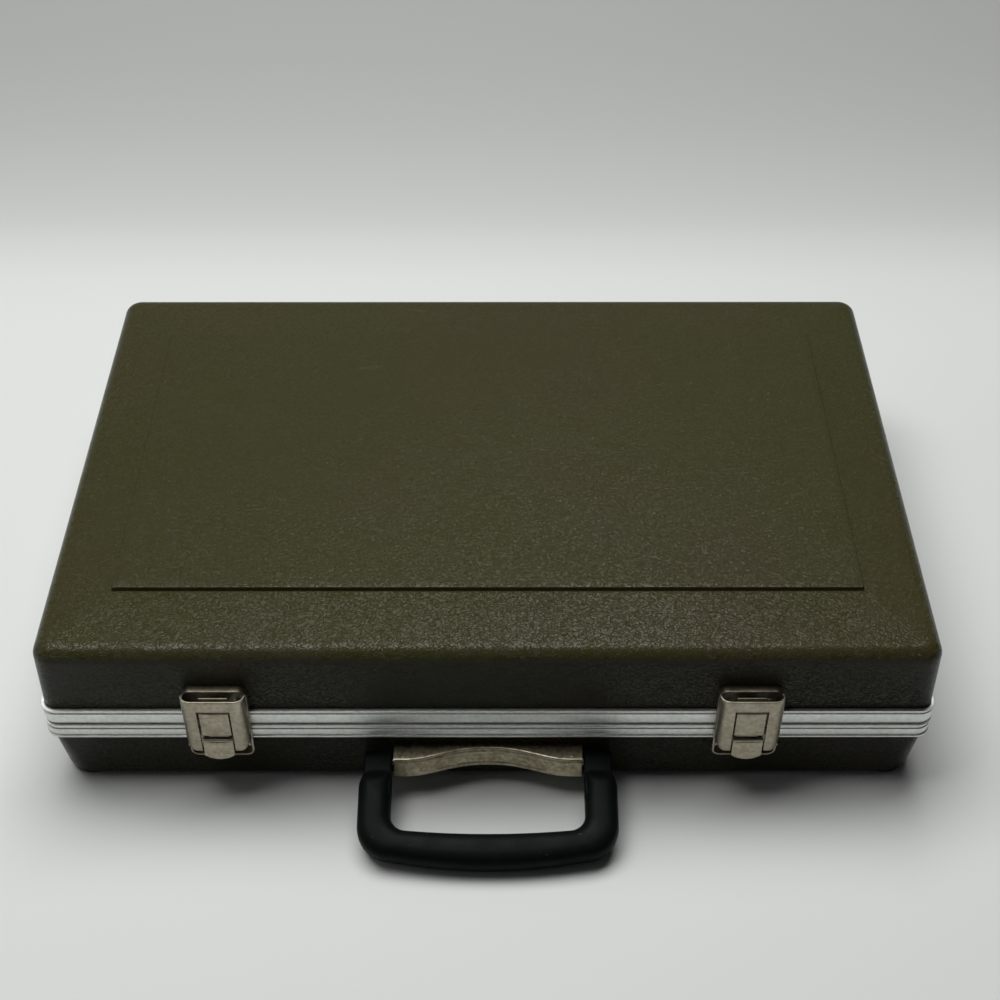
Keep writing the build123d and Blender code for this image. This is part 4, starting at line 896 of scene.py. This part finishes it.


# Stage: one pale sheet, flat under the case and swept up behind it. Its colour falls from pale to dim between
# a near and a far depth in metres, a painted shade in place of the light falling off towards the back: each
# pair is a share of that way and how much pale is left.

stage = {
    "halfWidth": 2600, "front": -1900, "bendFrom": 620, "radius": 620, "height": 2200,
    "pale": (0.70, 0.715, 0.695), "dim": (0.33, 0.335, 0.32), "nearAndFar": (0.1, 0.9), "bounce": 0.16,
    "falls": ((0.0, 1.0), (0.24, 0.97), (0.32, 0.80), (0.39, 0.55), (0.48, 0.40), (0.57, 0.30), (0.78, 0.22),
              (1.0, 0.20)),
}


def makeStage():
    v = stage
    sweep = arc(v["bendFrom"], v["radius"], v["radius"], 270, 360, 24)
    line = np.concatenate([[(v["front"], 0.0), (0.0, 0.0)], sweep, [(sweep[-1, 0], v["height"])]])
    x = np.linspace(-v["halfWidth"], v["halfWidth"], 9)
    points = np.stack(np.broadcast_arrays(x, line[:, :1], line[:, 1:]), -1)
    look, tree, shader = newLook("paleSweep")
    depth = put(tree, "ShaderNodeSeparateXYZ", {0: objectPlace(tree)}).outputs[1]
    shade = put(tree, "ShaderNodeFloatCurve", {1: spread(tree, depth, *v["nearAndFar"])})
    knots = shade.mapping.curves[0].points
    while len(knots) < len(v["falls"]):
        knots.new(0.5, 0.5)
    for knot, at in zip(knots, v["falls"]):
        knot.location = at
    # Painted shade: the sheet's colour darkens with depth, standing in for the light's fall-off
    colour = blendColour(tree, shade.outputs[0], v["dim"], v["pale"])
    # The camera and mirrors see the full colour. Light that bounces on is damped, so the walls stay dark.
    rays = put(tree, "ShaderNodeLightPath")
    direct = reckon(tree, "MAXIMUM", rays.outputs["Is Camera Ray"], rays.outputs["Is Glossy Ray"])
    seen = reckon(tree, "MAXIMUM", direct, rays.outputs["Is Transmission Ray"])
    damped = blendColour(tree, 1.0, colour, (v["bounce"],) * 3, "MULTIPLY")
    connect(tree, shader, colour=blendColour(tree, seen, damped, colour))
    shader.inputs["Roughness"].default_value = 0.9
    shader.inputs["Specular IOR Level"].default_value = 0.1
    sheet = newPiece("paleSweep", points, list(gridQuads(*points.shape[:2])), look)


# Lamps: each place, aim and size in metres, from the case's own origin

lamps = {
    "overhead": {"place": (-0.22, 0.385, 1.72), "aim": (0.0, -0.05, 0.0), "size": (1.7, 1.05), "watts": 37.0},
    "leftFill": {"place": (-1.6, -0.22, 0.85), "aim": (0.0, -0.22, 0.0), "size": (1.2, 1.0), "watts": 2.0},
}
room = {"colour": (0.92, 0.96, 1.0, 1.0), "strength": 0.03}


def makeLamps():
    for name, v in lamps.items():
        lamp = bpy.data.lights.new(name, "AREA")
        lamp.shape, lamp.energy = "RECTANGLE", v["watts"]
        lamp.size, lamp.size_y = v["size"]
        holder = bpy.data.objects.new(name, lamp)
        bpy.context.scene.collection.objects.link(holder)
        holder.location = v["place"]
        dx, dy, dz = np.subtract(v["aim"], v["place"])
        holder.rotation_euler = (math.atan2(math.hypot(dx, dy), -dz), 0, math.atan2(dy, dx) - math.pi / 2)
    world = bpy.data.worlds.new("softRoom")
    world.use_nodes = True
    background = world.node_tree.nodes["Background"]
    background.inputs[0].default_value = room["colour"]
    background.inputs[1].default_value = room["strength"]
    bpy.context.scene.world = world


# The photograph's view: millimetres right of the middle, in front of the valance's face and above the floor
view = {"right": 6.4, "inFront": 517.1, "above": 682.5, "lens": 58.79, "down": 43.1, "roll": 0.03}


def makeCamera():
    cameraData = bpy.data.cameras.new("photoView")
    cameraData.lens, cameraData.sensor_width, cameraData.sensor_fit = view["lens"], 36.0, "HORIZONTAL"
    camera = bpy.data.objects.new("photoView", cameraData)
    bpy.context.scene.collection.objects.link(camera)
    camera.location = (view["right"] * mm, (middleY - frontFace - view["inFront"]) * mm, view["above"] * mm)
    camera.rotation_euler = (math.radians(90 - view["down"]), math.radians(view["roll"]), 0)
    bpy.context.scene.camera = camera


makeStage()
makeLamps()
makeCamera()
bpy.context.scene.view_settings.view_transform = "Standard"
print("stage, lamps and camera made")
